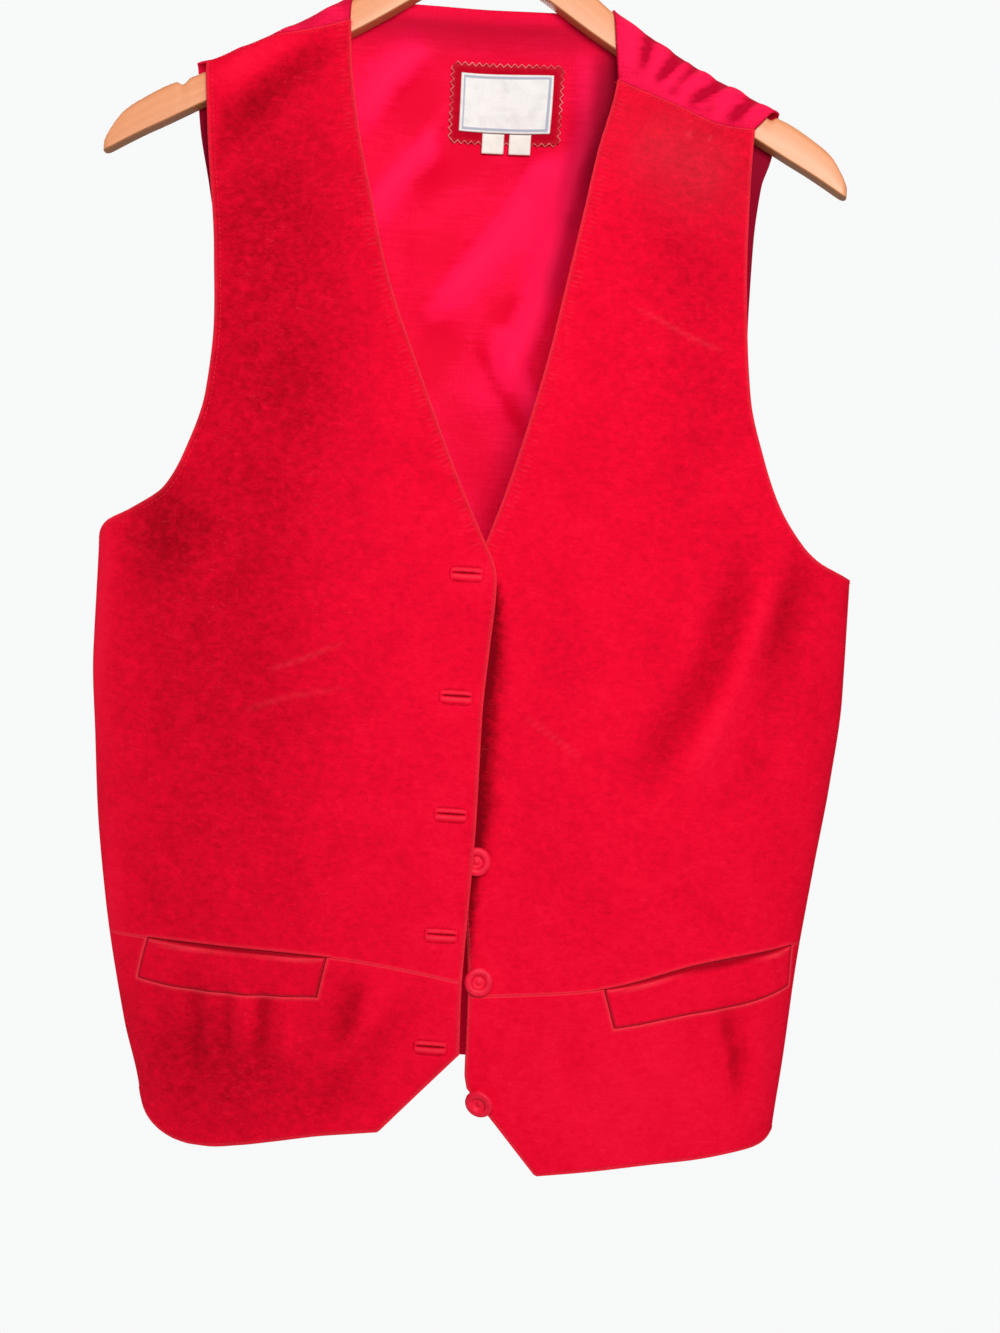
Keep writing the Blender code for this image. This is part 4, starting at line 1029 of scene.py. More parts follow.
backCut = {
    "armholes": {
        "right": (
            (-456, -211), (-452.5, -209.5), (-449, -202), (-444, -190), (-432, -176), (-405, -163),
            (-350, -153.5), (-290, -152.5), (-240, -160.5), (-203, -168), (-172, -171), (-120, -171),
        ),
        "left": (
            (-453, 239), (-449, 222), (-438, 207), (-415, 192), (-380, 180.5), (-340, 174.5),
            (-290, 171.5), (-252, 171), (-219, 173), (-203, 177.5), (-185, 180.2), (-120, 180.2),
        ),
    },
    "neckRidgeX": {"right": -80.4, "left": 76.8},
    "neckSeamX": {"right": -79.8, "left": 81.4},
    "armSeamX": {"right": -163.0, "left": 165.2},
    "neckZ": -122.0,
    "neckCorner": 13.0,
    "hemZ": -758.0,
    "hemDrop": 25.0,
    "hemMiddle": 22.0,
    "hemHalf": 190.0,
    "wall": 1.2,
    "liningWall": 1.0,
    "seed": 37,
    "unevenSize": 110.0,
    "unevenHeight": 0.6,
    "topFade": 40.0,
    "bandPuff": 0.25,
    "gridHold": 8,
    "gridWidth": 430.0,
    "acrossSteps": (40, 10, 46, 10, 52),  # strap, corner of the neck, neck, corner, strap
    "upSteps": (74, 78),                  # up to the armpit and over it
    "bendSteps": 12,
    "strapLength": 30.0,
    "strapSteps": 30,
    "foldShade": 0.18,
    "foldRows": 60,                       # grid rows over the armpit that the folds still shade
    "gatherLift": 0.6,
    "gatherShade": 0.7,
    "armholeHollow": (0.9, 46.0, 14.0),   # painted shade by the armholes: how dark, and from where to where it deepens
    # painted shade under the back neck, given the same way
    "neckHollow": (0.45, 34.0, 8.0),
    "creases": (
        (26, -4.0, 0.2, (-62, -215), (-72, -320), (-80, -430)),
        (28, -4.5, -0.2, (70, -205), (84, -330), (96, -450)),
        (30, 4.0, 0.0, (14, -380), (18, -560), (20, -730)),
        (26, -3.5, 0.2, (-120, -480), (-104, -590), (-95, -700)),
        (26, -3.0, -0.2, (140, -500), (126, -620), (118, -720)),
        (14, -1.8, 0.3, (-150, -452), (-112, -470), (-60, -470)),
        (13, -1.6, -0.3, (186, -455), (140, -476), (92, -474)),
        (12, -1.4, 0.3, (-20, -170), (-34, -240), (-30, -300)),
        (12, -1.3, -0.2, (40, -168), (48, -246), (44, -320)),
        (16, -1.6, 0.2, (-170, -560), (-140, -640), (-142, -730)),
        (15, -1.5, -0.3, (198, -570), (176, -660), (172, -742)),
        (18, 1.6, 0.0, (60, -560), (66, -650), (58, -740)),
        (12, -1.1, 0.3, (-44, -610), (-38, -690), (-46, -752)),
    ),
    "liningCreases": (  # all of them stand inwards, off the back
        (15, 5.0, 0.3, (45, -206), (22, -248), (-6, -284), (-18, -300)),
        (14, 4.6, -0.3, (58, -211), (50, -276), (35, -319), (22, -352)),
        (13, 4.2, 0.3, (-22, -191), (-51, -229), (-66, -252)),
        (14, 3.8, -0.2, (-32, -139), (-59, -170), (-72, -196)),
        (13, 4.2, -0.5, (22, -316), (36, -344), (52, -368)),
        (10, 2.2, -0.2, (22, -138), (20, -150), (21, -160)),
        (9, 2.0, 0.2, (0, -138), (-3, -150), (-1, -160)),
        (12, 2.6, 0.0, (60, -140), (64, -190), (58, -250)),
        (16, 2.4, 0.2, (-30, -360), (-4, -420), (8, -470)),
        (16, 3.6, 0.3, (-110, -300), (-84, -460), (-70, -640)),
        (18, 3.8, -0.3, (128, -310), (108, -470), (96, -660)),
        (16, 3.0, 0.2, (10, -470), (20, -600), (16, -740)),
    ),
    "liningShades": (  # between those folds
        (13, -1.7, 0.2, (-2, -203), (-41, -231)),
        (14, -1.9, 0.0, (-34, -172), (-42, -184)),
        (10, -1.5, 0.2, (29, -292), (15, -306)),
        (8, -1.8, 0.4, (8, -321), (22, -346), (39, -372)),
        (13, -2.2, 0.2, (-14, -312), (-30, -346)),
    ),
    "liningHollows": (  # in the shadow of the arm and of the left front
        (17, 0.85, 0.0, (80, -136), (76, -172), (70, -204), (61, -238)),
        (9, 0.45, 0.0, (61, -238), (50, -290)),
    ),
    "gathers": (  # on the left strap: as creases, with the way down from the ridge for z
        (3.4, -2.2, 0.2, (101, 0), (99, 10), (96, 28)),
        (4, -3.0, 0.25, (121, 0), (118, 7), (105, 30)),
        (3.2, -2.2, 0.2, (130, 1), (127, 8), (113, 31)),
        (4.2, -3.2, 0.25, (147, 0), (144, 7), (125, 30)),
        (3.6, -2.4, 0.2, (166, 0), (163, 8), (151, 26)),
        (9, 1.6, 0.1, (90, 0), (88, 14), (86, 34)),
        (7, 1.8, 0.2, (111, 0), (108, 12), (99, 32)),
        (6, 1.2, 0.2, (124, 2), (120, 14), (109, 32)),
        (8, 2.0, 0.2, (137, 0), (133, 12), (119, 31)),
        (8, 2.0, 0.2, (156, 0), (152, 10), (140, 28)),
        (6, 1.4, 0.1, (173, 0), (170, 8), (160, 20)),
        (2.6, -0.8, 0.0, (140, 22), (136, 29)),
        (2.4, 0.7, 0.0, (146, 20), (143, 27)),
        (2.6, -0.7, 0.0, (119, 26), (114, 33)),
    ),
    "rightGathers": (
        (6.0, 0.9, 0.2, (-98, -3), (-92, 8), (-86, 16)),
        (6.5, 1.1, 0.2, (-122, -3), (-117, 8), (-110, 14)),
        (6.0, 0.9, 0.2, (-148, -3), (-144, 7), (-138, 11)),
    ),
}
neckLabel = {
    "patch": {"x": 15.5, "z": -176.7, "width": 68.0, "height": 46.0, "wall": 1.0},
    "label": {"x": 15.5, "z": -176.2, "width": 57.0, "height": 34.0, "wall": 1.0},
    "sizeTag": {"x": 9.3, "z": -199.5, "width": 14.0, "height": 12.0, "wall": 1.0},
    "careTag": {"x": 26.2, "z": -199.5, "width": 14.0, "height": 12.0, "wall": 1.0},
    "pinkedStep": 3.4,
    "pinkedDepth": 1.1,
    "borderInset": 2.2,
    "borderWidth": 0.7,
}


def bendRun(below):
    curved = ridgeRadius * np.arccos(np.clip(1 - below / ridgeRadius, -1.0, 1.0))
    past = quarterBend + below - ridgeRadius
    return np.where(below <= 0, 0.0, np.where(below >= ridgeRadius, past, curved))


# A place on a shoulder strap: run is the way from the ridge, above zero behind it
def overRidge(x, run):
    bend = np.clip(run, -quarterBend, quarterBend) / ridgeRadius
    past = np.abs(run) - quarterBend
    z = ridge(x) - ridgeRadius * (1 - np.cos(bend)) - np.maximum(past, 0.0)
    angle = loopAngle(x, z)
    hanging = np.where(run > 0, fall(x, z, angle, backDepth), -fall(x, z, angle, frontDepth))
    return np.stack((x, np.where(past > 0, hanging, ridgeRadius * np.sin(bend)), z), -1)


def backEdge(name):
    side = frontCut[name]["side"]
    (armpit, _), *rows = backCut["armholes"][name]
    atSeam = float(loopX(seamAngle(side, backDepth, armpit), armpit))
    armhole = Curve([(armpit, atSeam), *rows])

    def edge(z):
        return np.where(z <= armpit, loopX(seamAngle(side, backDepth, z), z), armhole(z))

    return edge


def backHem(x):
    return backCut["hemZ"] - backCut["hemDrop"] * ((x - backCut["hemMiddle"]) / backCut["hemHalf"]) ** 2


def backTopRun(x):
    return bendRun(ridge(x) - backCut["neckZ"])


def underBend(x):
    return ridge(x) - ridgeRadius - backTopRun(x)


def backPlace(angle, z):
    x = loopX(angle, z)
    fromTop = eased(0.0, backCut["topFade"], underBend(x) - z)
    relief = creaseHeight(backCut["creases"], x, z)
    relief = relief + unevenness(backCut["seed"], x, z, backCut["unevenSize"], backCut["unevenHeight"])
    return np.stack((x, fall(x, z, angle, backDepth) + relief * fromTop * fromSide(angle), z), -1)


def backNormal(angle, z):
    return normalOf(backPlace, angle, z, angleStep)


def buildBack():
    edges = backEdge("right"), backEdge("left")
    panel = Panel(*edges, backHem, underBend, backCut["hemZ"], underBend(backCut["armSeamX"]["left"]),
                  hold=backCut["gridHold"])
    start, end = panel.angles[1]
    right, left = backCut["neckRidgeX"]["right"], backCut["neckRidgeX"]["left"]
    corner = backCut["neckCorner"]
    places = np.array((right, right + corner, left - corner, left))
    marks = (loopAngle(places, backCut["neckZ"]) - start) / (end - start)
    stops = zip((*marks, 1.0), backCut["acrossSteps"])
    shares = refined(stations(*stops), backCut["gridWidth"], (0.0, marks[0], marks[3], 1.0))
    foot, head = panel.ends[0][0], panel.ends[1][0]
    armpit = (backCut["armholes"]["right"][0][0] - foot) / (head - foot)
    ups = refined(stations(*zip((armpit, 1.0), backCut["upSteps"])), head - foot, (0.0,))
    armpitRow = int(np.argmin(np.abs(ups - armpit)))
    angle, z = panel.at(shares[None, :], ups[:, None])
    place, normal = backPlace(angle, z), backNormal(angle, z)
    panelRows = len(place)
    topX = place[-1, :, 0]
    bendShares = refined(stations((1.0, backCut["bendSteps"])), quarterBend, (1.0,))[1:, None]
    run = backTopRun(topX) + quarterBend * (1 - bendShares)
    bendX = np.broadcast_to(topX, run.shape)
    place = np.concatenate((place, overRidge(bendX, run)))
    normal = np.concatenate((normal, normalOf(overRidge, bendX, run, lengthStep)))
    bendRow = len(place) - 1
    firstNeck, lastNeck = (int(np.argmin(np.abs(shares - marks[k]))) for k in (0, 3))
    inLining = allCells(place)
    inLining[panelRows - 1:, :firstNeck] = False
    inLining[panelRows - 1:, lastNeck:] = False
    lining = buildLining(place, normal, armpitRow, inLining)
    strapShares = refined(stations((1.0, backCut["strapSteps"])), backCut["strapLength"], (1.0,))[1:, None]
    strap = np.zeros((len(strapShares), len(shares), 3))
    strapNormal = np.zeros_like(strap)
    fold = backCut["foldShade"] * creaseHeight(backCut["creases"], place[..., 0], place[..., 2])
    fold[armpitRow + backCut["foldRows"]:] = 0.0
    strapFold = np.zeros(strap.shape[:2])
    for name, columns in (("right", slice(0, firstNeck + 1)), ("left", slice(lastNeck, None))):
        count = len(topX[columns])
        toArm = np.linspace(1, 0, count) if name == "right" else np.linspace(0, 1, count)
        seamX = between(backCut["neckSeamX"][name], backCut["armSeamX"][name], toArm)
        seamRun = bendRun(fronts[name].seamDrop(seamX))
        x = topX[columns] + (seamX - topX[columns]) * strapShares
        down = seamRun * strapShares
        found = gatheredStrap(name, x, down, strapShares)
        strap[:, columns], strapNormal[:, columns], strapFold[:, columns] = found
    place, normal = np.concatenate((place, strap)), np.concatenate((normal, strapNormal))
    fold = np.concatenate((fold, strapFold))
    keep = allCells(place)
    keep[bendRow:, firstNeck:lastNeck] = False
    lastRow, lastColumn = len(place) - 1, len(shares) - 1

    def isSeam(row, column):
        atSide = (column == 0) | (column == lastColumn)
        return (row == lastRow) | (atSide & (row < armpitRow))

    piece = shell("backPanel", place, normal, backCut["wall"], (finishes["back"], finishes["lining"]),
                  keep=keep, isSeam=isSeam, puff=backCut["bandPuff"], marks={"fold": fold})
    return finishPiece(piece, "back"), lining


def gatheredStrap(name, x, down, share):
    gathers = backCut["gathers" if name == "left" else "rightGathers"]
    normal = normalOf(overRidge, x, -down, lengthStep)
    gather = creaseHeight(gathers, x, down) * eased(1.0, 0.93, share)
    start = eased(0.0, 0.15, share)
    lift = backCut["gatherLift"] * gather * np.where(gather < 0, eased(0.05, 0.6, share), start)
    return overRidge(x, -down) + normal * lift[..., None], normal, backCut["gatherShade"] * gather * start


def liningRise(x, z):
    patch = neckLabel["patch"]
    outX = np.maximum(np.abs(x - patch["x"]) - patch["width"] / 2, 0.0)
    outZ = np.maximum(np.abs(z - patch["z"]) - patch["height"] / 2, 0.0)
    clear = eased(1.0, 16.0, np.hypot(outX, outZ))
    return creaseHeight(backCut["liningCreases"], x, z) * clear * eased(0.0, 18.0, underBend(x) - z)


def buildLining(place, normal, armpitRow, keep):
    lift = -backCut["wall"] - seamGap
    rise = liningRise(place[..., 0], place[..., 2])
    place = place - normal * rise[..., None]
    along, across = np.gradient(place, axis=0), np.gradient(place, axis=1)
    outward = np.cross(across, along)
    outward /= np.linalg.norm(outward, axis=-1, keepdims=True)
    outward *= np.sign((outward * normal).sum(-1, keepdims=True))
    outward = between(normal, outward, eased(0.0, 0.6, rise)[..., None])
    outward /= np.linalg.norm(outward, axis=-1, keepdims=True)
    lastColumn = place.shape[1] - 1

    def isSeam(row, column):
        return ((column == 0) | (column == lastColumn)) & (row < armpitRow)

    x, z = place[..., 0], place[..., 2]
    # painted shade by the armholes, under the neck and in the shadow of the left front
    fromArmhole = np.minimum(x - x[:, :1], x[:, -1:] - x)
    depth, start, full = backCut["armholeHollow"]
    hollow = depth * eased(start, full, fromArmhole)
    belowNeck = backCut["neckZ"] - z
    depth, start, full = backCut["neckHollow"]
    hollow = np.maximum(hollow, depth * eased(start, full, belowNeck) * eased(2.0, 12.0, belowNeck))
    hollow = np.maximum(hollow, np.clip(creaseHeight(backCut["liningHollows"], x, z), 0.0, 0.85))
    # the fold mark paints light onto the lining's folds and shade between them
    fold = 0.5 * (rise - 1.0) + creaseHeight(backCut["liningShades"], x, z)
    piece = shell("backLining", place, outward, backCut["liningWall"], (finishes["lining"],), keep=keep,
                  lift=lift, isSeam=isSeam, marks={"fold": fold, "hollow": hollow})
    return finishPiece(piece, "back_lining")


sheets["back"], sheets["lining"] = buildBack()
print("back and lining made")


def liningSeat(x, z, depth):
    angle = loopAngle(x, z)
    return backPlace(angle, z) - backNormal(angle, z) * depth


liningInside = backCut["wall"] + seamGap + backCut["liningWall"]


def buildPatch(key, node, layer, finish, cell, pinked=False):
    form = neckLabel[key]
    columns, rows = round(form["width"] / cell), round(form["height"] / cell)
    u, v = np.meshgrid(np.linspace(-1, 1, columns + 1), np.linspace(-1, 1, rows + 1))
    blunt = 1 - 0.025 * np.abs(u * v) ** 10 if pinked else 1.0
    x, z = form["x"] + u * blunt * form["width"] / 2, form["z"] + v * blunt * form["height"] / 2
    if pinked:
        step = neckLabel["pinkedStep"]
        wave = np.abs(((x + z) / step) % 1 - 0.5) * 2 - 0.5
        atRim = np.maximum(np.abs(u), np.abs(v)) ** 24
        x = x + np.sign(u) * wave * neckLabel["pinkedDepth"] * atRim * (np.abs(u) > 0.999)
        z = z + np.sign(v) * wave * neckLabel["pinkedDepth"] * atRim * (np.abs(v) > 0.999)
    angle = loopAngle(x, z)
    place, normal = backPlace(angle, z), backNormal(angle, z)
    seat = -liningInside - seamGap - layer * (form["wall"] + seamGap)
    fromRim = np.minimum(form["width"] / 2 * (1 - np.abs(u)), form["height"] / 2 * (1 - np.abs(v)))
    line = np.abs(fromRim - neckLabel["borderInset"]) < neckLabel["borderWidth"]
    border = np.where(line & (key == "label"), 1.0, 0.0)
    name = "neck" + key[0].upper() + key[1:]
    piece = shell(name, place, normal, form["wall"], (finish,), lift=seat, marks={"border": border})
    return finishPiece(piece, node)


sheets["patch"] = buildPatch("patch", "label_patch", 0, finishes["patchSuede"], 0.85, True)
sheets["label"] = buildPatch("label", "label", 1, finishes["label"], 0.5)
sheets["sizeTag"] = buildPatch("sizeTag", "size_tag", 1, finishes["tag"], 0.7)
sheets["careTag"] = buildPatch("careTag", "care_tag", 1, finishes["tag"], 0.7)
print("neck patch, label and tags made")


buttonholeForm = {
    "length": 20.0,
    "half": 4.8,
    "rim": 0.36,         # how far off the suede: by the rim, at the crown, and at the least
    "crown": 0.75,
    "least": 0.34,
    "slit": (0.3, 0.4),  # half height of the slit at its ends, and what its middle adds
    "slitUp": 0.5,
    "slitDepth": 0.35,
    "lips": ((2.3, 0.9, 0.75), (-1.6, 1.0, 1.0)),  # how far up, half height, how pale
    "lipRise": 0.10,
    "lineUp": 4.0,
    "lineHalf": 0.45,
    "slitShade": 0.95,
    "lineShade": 0.46,
    "lipShine": 2.1,
    "endRound": 0.10,
    "sideRound": 0.25,
    "wobble": (11.0, 0.10),  # size and height
    "seed": 50,
    "columns": 40,
    "rows": 36,
}


def buildButtonhole(number, x0, z0):
    front = fronts["right"]
    half, length = buttonholeForm["half"], buttonholeForm["length"]
    u = np.linspace(-1, 1, buttonholeForm["columns"] + 1)[None, :]
    v = np.linspace(-1, 1, buttonholeForm["rows"] + 1)[:, None]
    x = x0 + u * length / 2 * (1 - buttonholeForm["endRound"] * v ** 4)
    z = z0 + v * half * (1 - buttonholeForm["sideRound"] * u ** 6)
    soft = eased(1.0, 0.55, np.abs(u)) * eased(1.0, 0.35, np.abs(v))
    wobble = unevenness(buttonholeForm["seed"] + number, x, z, *buttonholeForm["wobble"])
    rim = buttonholeForm["rim"]
    height = rim + (buttonholeForm["crown"] - rim + wobble) * soft
    endHalf, middleHalf = buttonholeForm["slit"]
    up = v * half - buttonholeForm["slitUp"]
    slit = np.exp(-(up / (endHalf + middleHalf * (1 - u * u))) ** 2) * eased(0.95, 0.70, np.abs(u))
    lip = sum(pale * np.exp(-((v * half - at) / reach) ** 2) for at, reach, pale in buttonholeForm["lips"])
    inside = eased(0.95, 0.75, np.abs(u))
    lip = lip * inside
    fromLines = np.abs(v * half) - buttonholeForm["lineUp"]
    lines = np.exp(-(fromLines / buttonholeForm["lineHalf"]) ** 2) * inside
    height = height - buttonholeForm["slitDepth"] * slit + buttonholeForm["lipRise"] * lip
    height = np.maximum(height, buttonholeForm["least"])
    angle = loopAngle(x, z)
    place, normal = front.place(angle, z), front.normal(angle, z)
    base = np.full(height.shape, seamGap + 0.02)
    outer, inner = place + normal * height[..., None], place + normal * base[..., None]
    outer[0], outer[-1], outer[:, 0], outer[:, -1] = inner[0], inner[-1], inner[:, 0], inner[:, -1]
    marks = {**front.marks(place), "groove": 0 * slit, "edge": 5.0 + 0 * slit, "seam": 3.0 + 0 * slit}
    marks["nap"] = marks["nap"] - buttonholeForm["slitShade"] * slit - buttonholeForm["lineShade"] * lines
    marks["scuff"] = marks["scuff"] + buttonholeForm["lipShine"] * lip * (1 - slit)
    looks = (finishes["suede"],)
    piece = closedPiece(f"buttonhole{number}", outer, inner, normal, allCells(height), looks, marks)
    return finishPiece(piece, f"buttonhole_{number}")


for number, (x, z) in enumerate(buttonholePlaces, 1):
    sheets[f"buttonhole{number}"] = buildButtonhole(number, x, z)


buttonForm = {
    "places": ((16.5, -494.6), (15.5, -563), (27.8, -631.7), (33.6, -701.4), (38.7, -770.8)),
    "profile": (  # radius, height: from the middle of the face, over the rim, to the middle of the back
        (0.0, 1.9), (1.2, 1.9), (1.7, 1.5), (2.4, 1.2), (3.3, 1.3), (4.0, 2.2), (4.5, 3.1), (5.1, 3.4),
        (6.1, 3.5), (7.2, 3.4), (8.0, 2.9), (8.4, 2.2), (8.5, 1.6), (8.1, 0.95), (7.0, 0.4), (4.9, 0.1),
        (3.3, 0.0), (0.0, 0.0),
    ),
    "hang": {5: ((-0.34, 0.0, -0.30), 2.6)},  # number: how its axis leans on its thread, how far out it hangs
    "sides": 64,
    "seatGap": 0.4,
}


# Turns a profile of (radius, height) round a place, with its axis along a direction
def turned(profile, sides, centre, axis):
    spin = np.linspace(0, 2 * math.pi, sides, endpoint=False)
    points, faces, rings = [], [], []
    for radius, height in profile:
        ring = list(range(len(points), len(points) + (sides if radius > 0 else 1)))
        points += [(radius * math.cos(a), radius * math.sin(a), height) for a in spin[:len(ring)]]
        rings.append(ring)
    for upper, lower in zip(rings, rings[1:]):
        for k in range(sides):
            after = (k + 1) % sides
            corners = (upper[k % len(upper)], lower[k % len(lower)],
                       lower[after % len(lower)], upper[after % len(upper)])
            faces.append(tuple(dict.fromkeys(corners)))
    turn = np.array(Vector(axis).to_track_quat("Z", "Y").to_matrix())
    return np.array(points) @ turn.T + centre, faces


def buildButton(number, x, z):
    front, name = fronts["left"], f"button{number}"
    angle = loopAngle(x, z)
    normal = front.normal(angle, z)
    lean, out = buttonForm["hang"].get(number, ((0, 0, 0), 0.0))
    centre = front.place(angle, z) + normal * (buttonForm["seatGap"] + out)
    points, faces = turned(buttonForm["profile"], buttonForm["sides"], centre, normal + np.array(lean))
    mesh = newMesh(name, points, faces, (finishes["plastic"],))
    return finishPiece(linked(name, mesh), f"button_{number}")


for number, (x, z) in enumerate(buttonForm["places"], 1):
    buildButton(number, x, z)
print("buttons and bound buttonholes made:", len(buttonForm["places"]))


def hangerSection(top, bottom):
    ring = []
    for quarter, (wayY, wayZ) in enumerate(((1, 1), (-1, 1), (-1, -1), (1, -1))):
        radius = min(hangerForm["corner" if wayZ > 0 else "lowerCorner"], (top - bottom) * 0.45)
        y = wayY * (hangerForm["thickness"] / 2 - radius)
        z = top - radius if wayZ > 0 else bottom + radius
        for k in range(hangerForm["cornerSteps"] + 1):
            angle = math.radians(90 * (quarter + k / hangerForm["cornerSteps"]))
            ring.append((y + radius * math.cos(angle), z + radius * math.sin(angle)))
    return ring


def buildHanger():
    tip, half = hangerForm["arm"][-1][0], hangerForm["notchHalf"]
    beside = np.linspace(*hangerForm["notchSections"]).tolist()
    fine = [tip - step for step in hangerForm["tipSections"]]
    even = np.linspace(0, tip - hangerForm["tipClear"], hangerForm["sections"] // 2).tolist()
    right = sorted({*even, *beside, *fine})
    stationsX = [-x for x in reversed(right[1:])] + right
    points, marks = [], {"along": [], "across": [], "under": []}
    run, before = 0.0, None
    for x in stationsX:
        top, bottom = float(armTop(x)), float(armBottom(x))
        middle = (top + bottom) / 2
        run += math.dist(before, (x, middle)) if before else 0.0
        before = x, middle
        fromNotch = min(1.0, min(abs(x - notch) for notch in hangerForm["notches"]) / half)
        top -= hangerForm["notchDepth"] * (1 + math.cos(math.pi * fromNotch)) / 2
        inTip = 1 - (1 - min(1.0, (tip - abs(x)) / hangerForm["tipSections"][-1])) ** 2
        shrink = between(hangerForm["tipWidth"], 1.0, math.sqrt(max(0.0, inTip)))
        lower = between(hangerForm["tipHeight"], 1.0, shrink)
        for y, z in hangerSection(top, bottom):
            points.append((x, y * shrink, middle + (z - middle) * lower))
            marks["along"].append(run)
            marks["across"].append(z - middle)
            # the underside of the arm, which gets painted shade
            marks["under"].append(float(z < bottom + 0.5 * hangerForm["lowerCorner"]))
    faces = tubeFaces(len(stationsX), 4 * (hangerForm["cornerSteps"] + 1))
    mesh = newMesh("woodenHanger", points, faces, (finishes["wood"],), marks)
    mesh.set_sharp_from_angle(angle=math.radians(hangerForm["sharpAngle"]))
    return finishPiece(linked("woodenHanger", mesh), "hanger")


hookForm = {
    "wire": 2.0, "radius": 22.0, "footZ": -56.0, "firstAngle": -60.0, "lastAngle": 195.0, "bendPull": 0.4,
    "bendSteps": 14, "turnSteps": 72, "sides": 16,
    "footSize": 0.55,
    "tip": ((1.0, 0.72), (1.4, 0.3)),  # how far past the end, share of the wire
}


def hookRoute():
    middleZ = hookForm["wire"] - hookForm["radius"]
    first = math.radians(hookForm["firstAngle"])
    join = np.array((math.cos(first), math.sin(first))) * hookForm["radius"] + (0, middleZ)
    tangent = np.array((-math.sin(first), math.cos(first)))
    foot = np.array((0.0, hookForm["footZ"]))
    pull = np.linalg.norm(join - foot) * hookForm["bendPull"]
    t = np.linspace(0, 1, hookForm["bendSteps"], endpoint=False)[:, None]
    bend = (foot * (1 - t) ** 3 + (foot + (0, pull)) * 3 * t * (1 - t) ** 2
            + (join - tangent * pull) * 3 * t * t * (1 - t) + join * t ** 3)
    turn = np.radians(np.linspace(hookForm["firstAngle"], hookForm["lastAngle"], hookForm["turnSteps"]))
    circle = np.stack((np.cos(turn), np.sin(turn)), -1) * hookForm["radius"] + (0, middleZ)
    return np.concatenate(([(0.0, float(armTop(0.0)) + seamGap)], bend, circle))


def buildHook():
    route = hookRoute()
    ahead = np.gradient(route, axis=0)
    ahead /= np.linalg.norm(ahead, axis=1, keepdims=True)
    side = np.stack((ahead[:, 1], -ahead[:, 0]), -1)
    spin = np.linspace(0, 2 * math.pi, hookForm["sides"], endpoint=False)
    wire, sides = hookForm["wire"], hookForm["sides"]
    rings = []
    sections = [(0, 0.0, hookForm["footSize"]), *((k, 0.0, 1.0) for k in range(len(route)))]
    sections += [(len(route) - 1, push, size) for push, size in hookForm["tip"]]
    for k, push, size in sections:
        x, z = route[k] + ahead[k] * push
        rings.append([(x + side[k][0] * math.cos(a) * wire * size, math.sin(a) * wire * size,
                       z + side[k][1] * math.cos(a) * wire * size) for a in spin])
    points, faces = np.array(rings).reshape(-1, 3), tubeFaces(len(rings), sides)
    mesh = newMesh("wireHook", points, faces, (finishes["steel"],))
    return finishPiece(linked("wireHook", mesh), "hook")


buildHanger()
buildHook()
print("hanger and hook made")


stitchForm = {"spacing": 3.0, "length": 2.3, "thread": 0.22, "jitter": 0.09, "seed": 5}


def routeObject(name, routes):
    line = bpy.data.curves.new(name, "CURVE")
    line.dimensions = "3D"
    for route in routes:
        spline = line.splines.new("POLY")
        spline.points.add(len(route) - 1)
        spline.points.foreach_set("co", np.c_[route * mm, np.ones(len(route))].ravel())
    made = bpy.data.objects.new(name, line)
    bpy.context.collection.objects.link(made)
    return made


def newTree(name, sizes):
    tree = bpy.data.node_groups.new(name, "GeometryNodeTree")
    tree.interface.new_socket("Geometry", in_out="INPUT", socket_type="NodeSocketGeometry")
    for key in sizes:
        kind = "NodeSocketInt" if key == "seed" else "NodeSocketFloat"
        tree.interface.new_socket(key, in_out="INPUT", socket_type=kind)
    tree.interface.new_socket("Geometry", in_out="OUTPUT", socket_type="NodeSocketGeometry")
    return tree


def joined(tree, kind, sockets=(), **settings):
    made = tree.nodes.new(kind)
    for key, value in settings.items():
        setattr(made, key, value)
    for key, value in dict(sockets).items():
        if isinstance(value, bpy.types.NodeSocket):
            tree.links.new(value, made.inputs[key])
        else:
            made.inputs[key].default_value = value
    return made


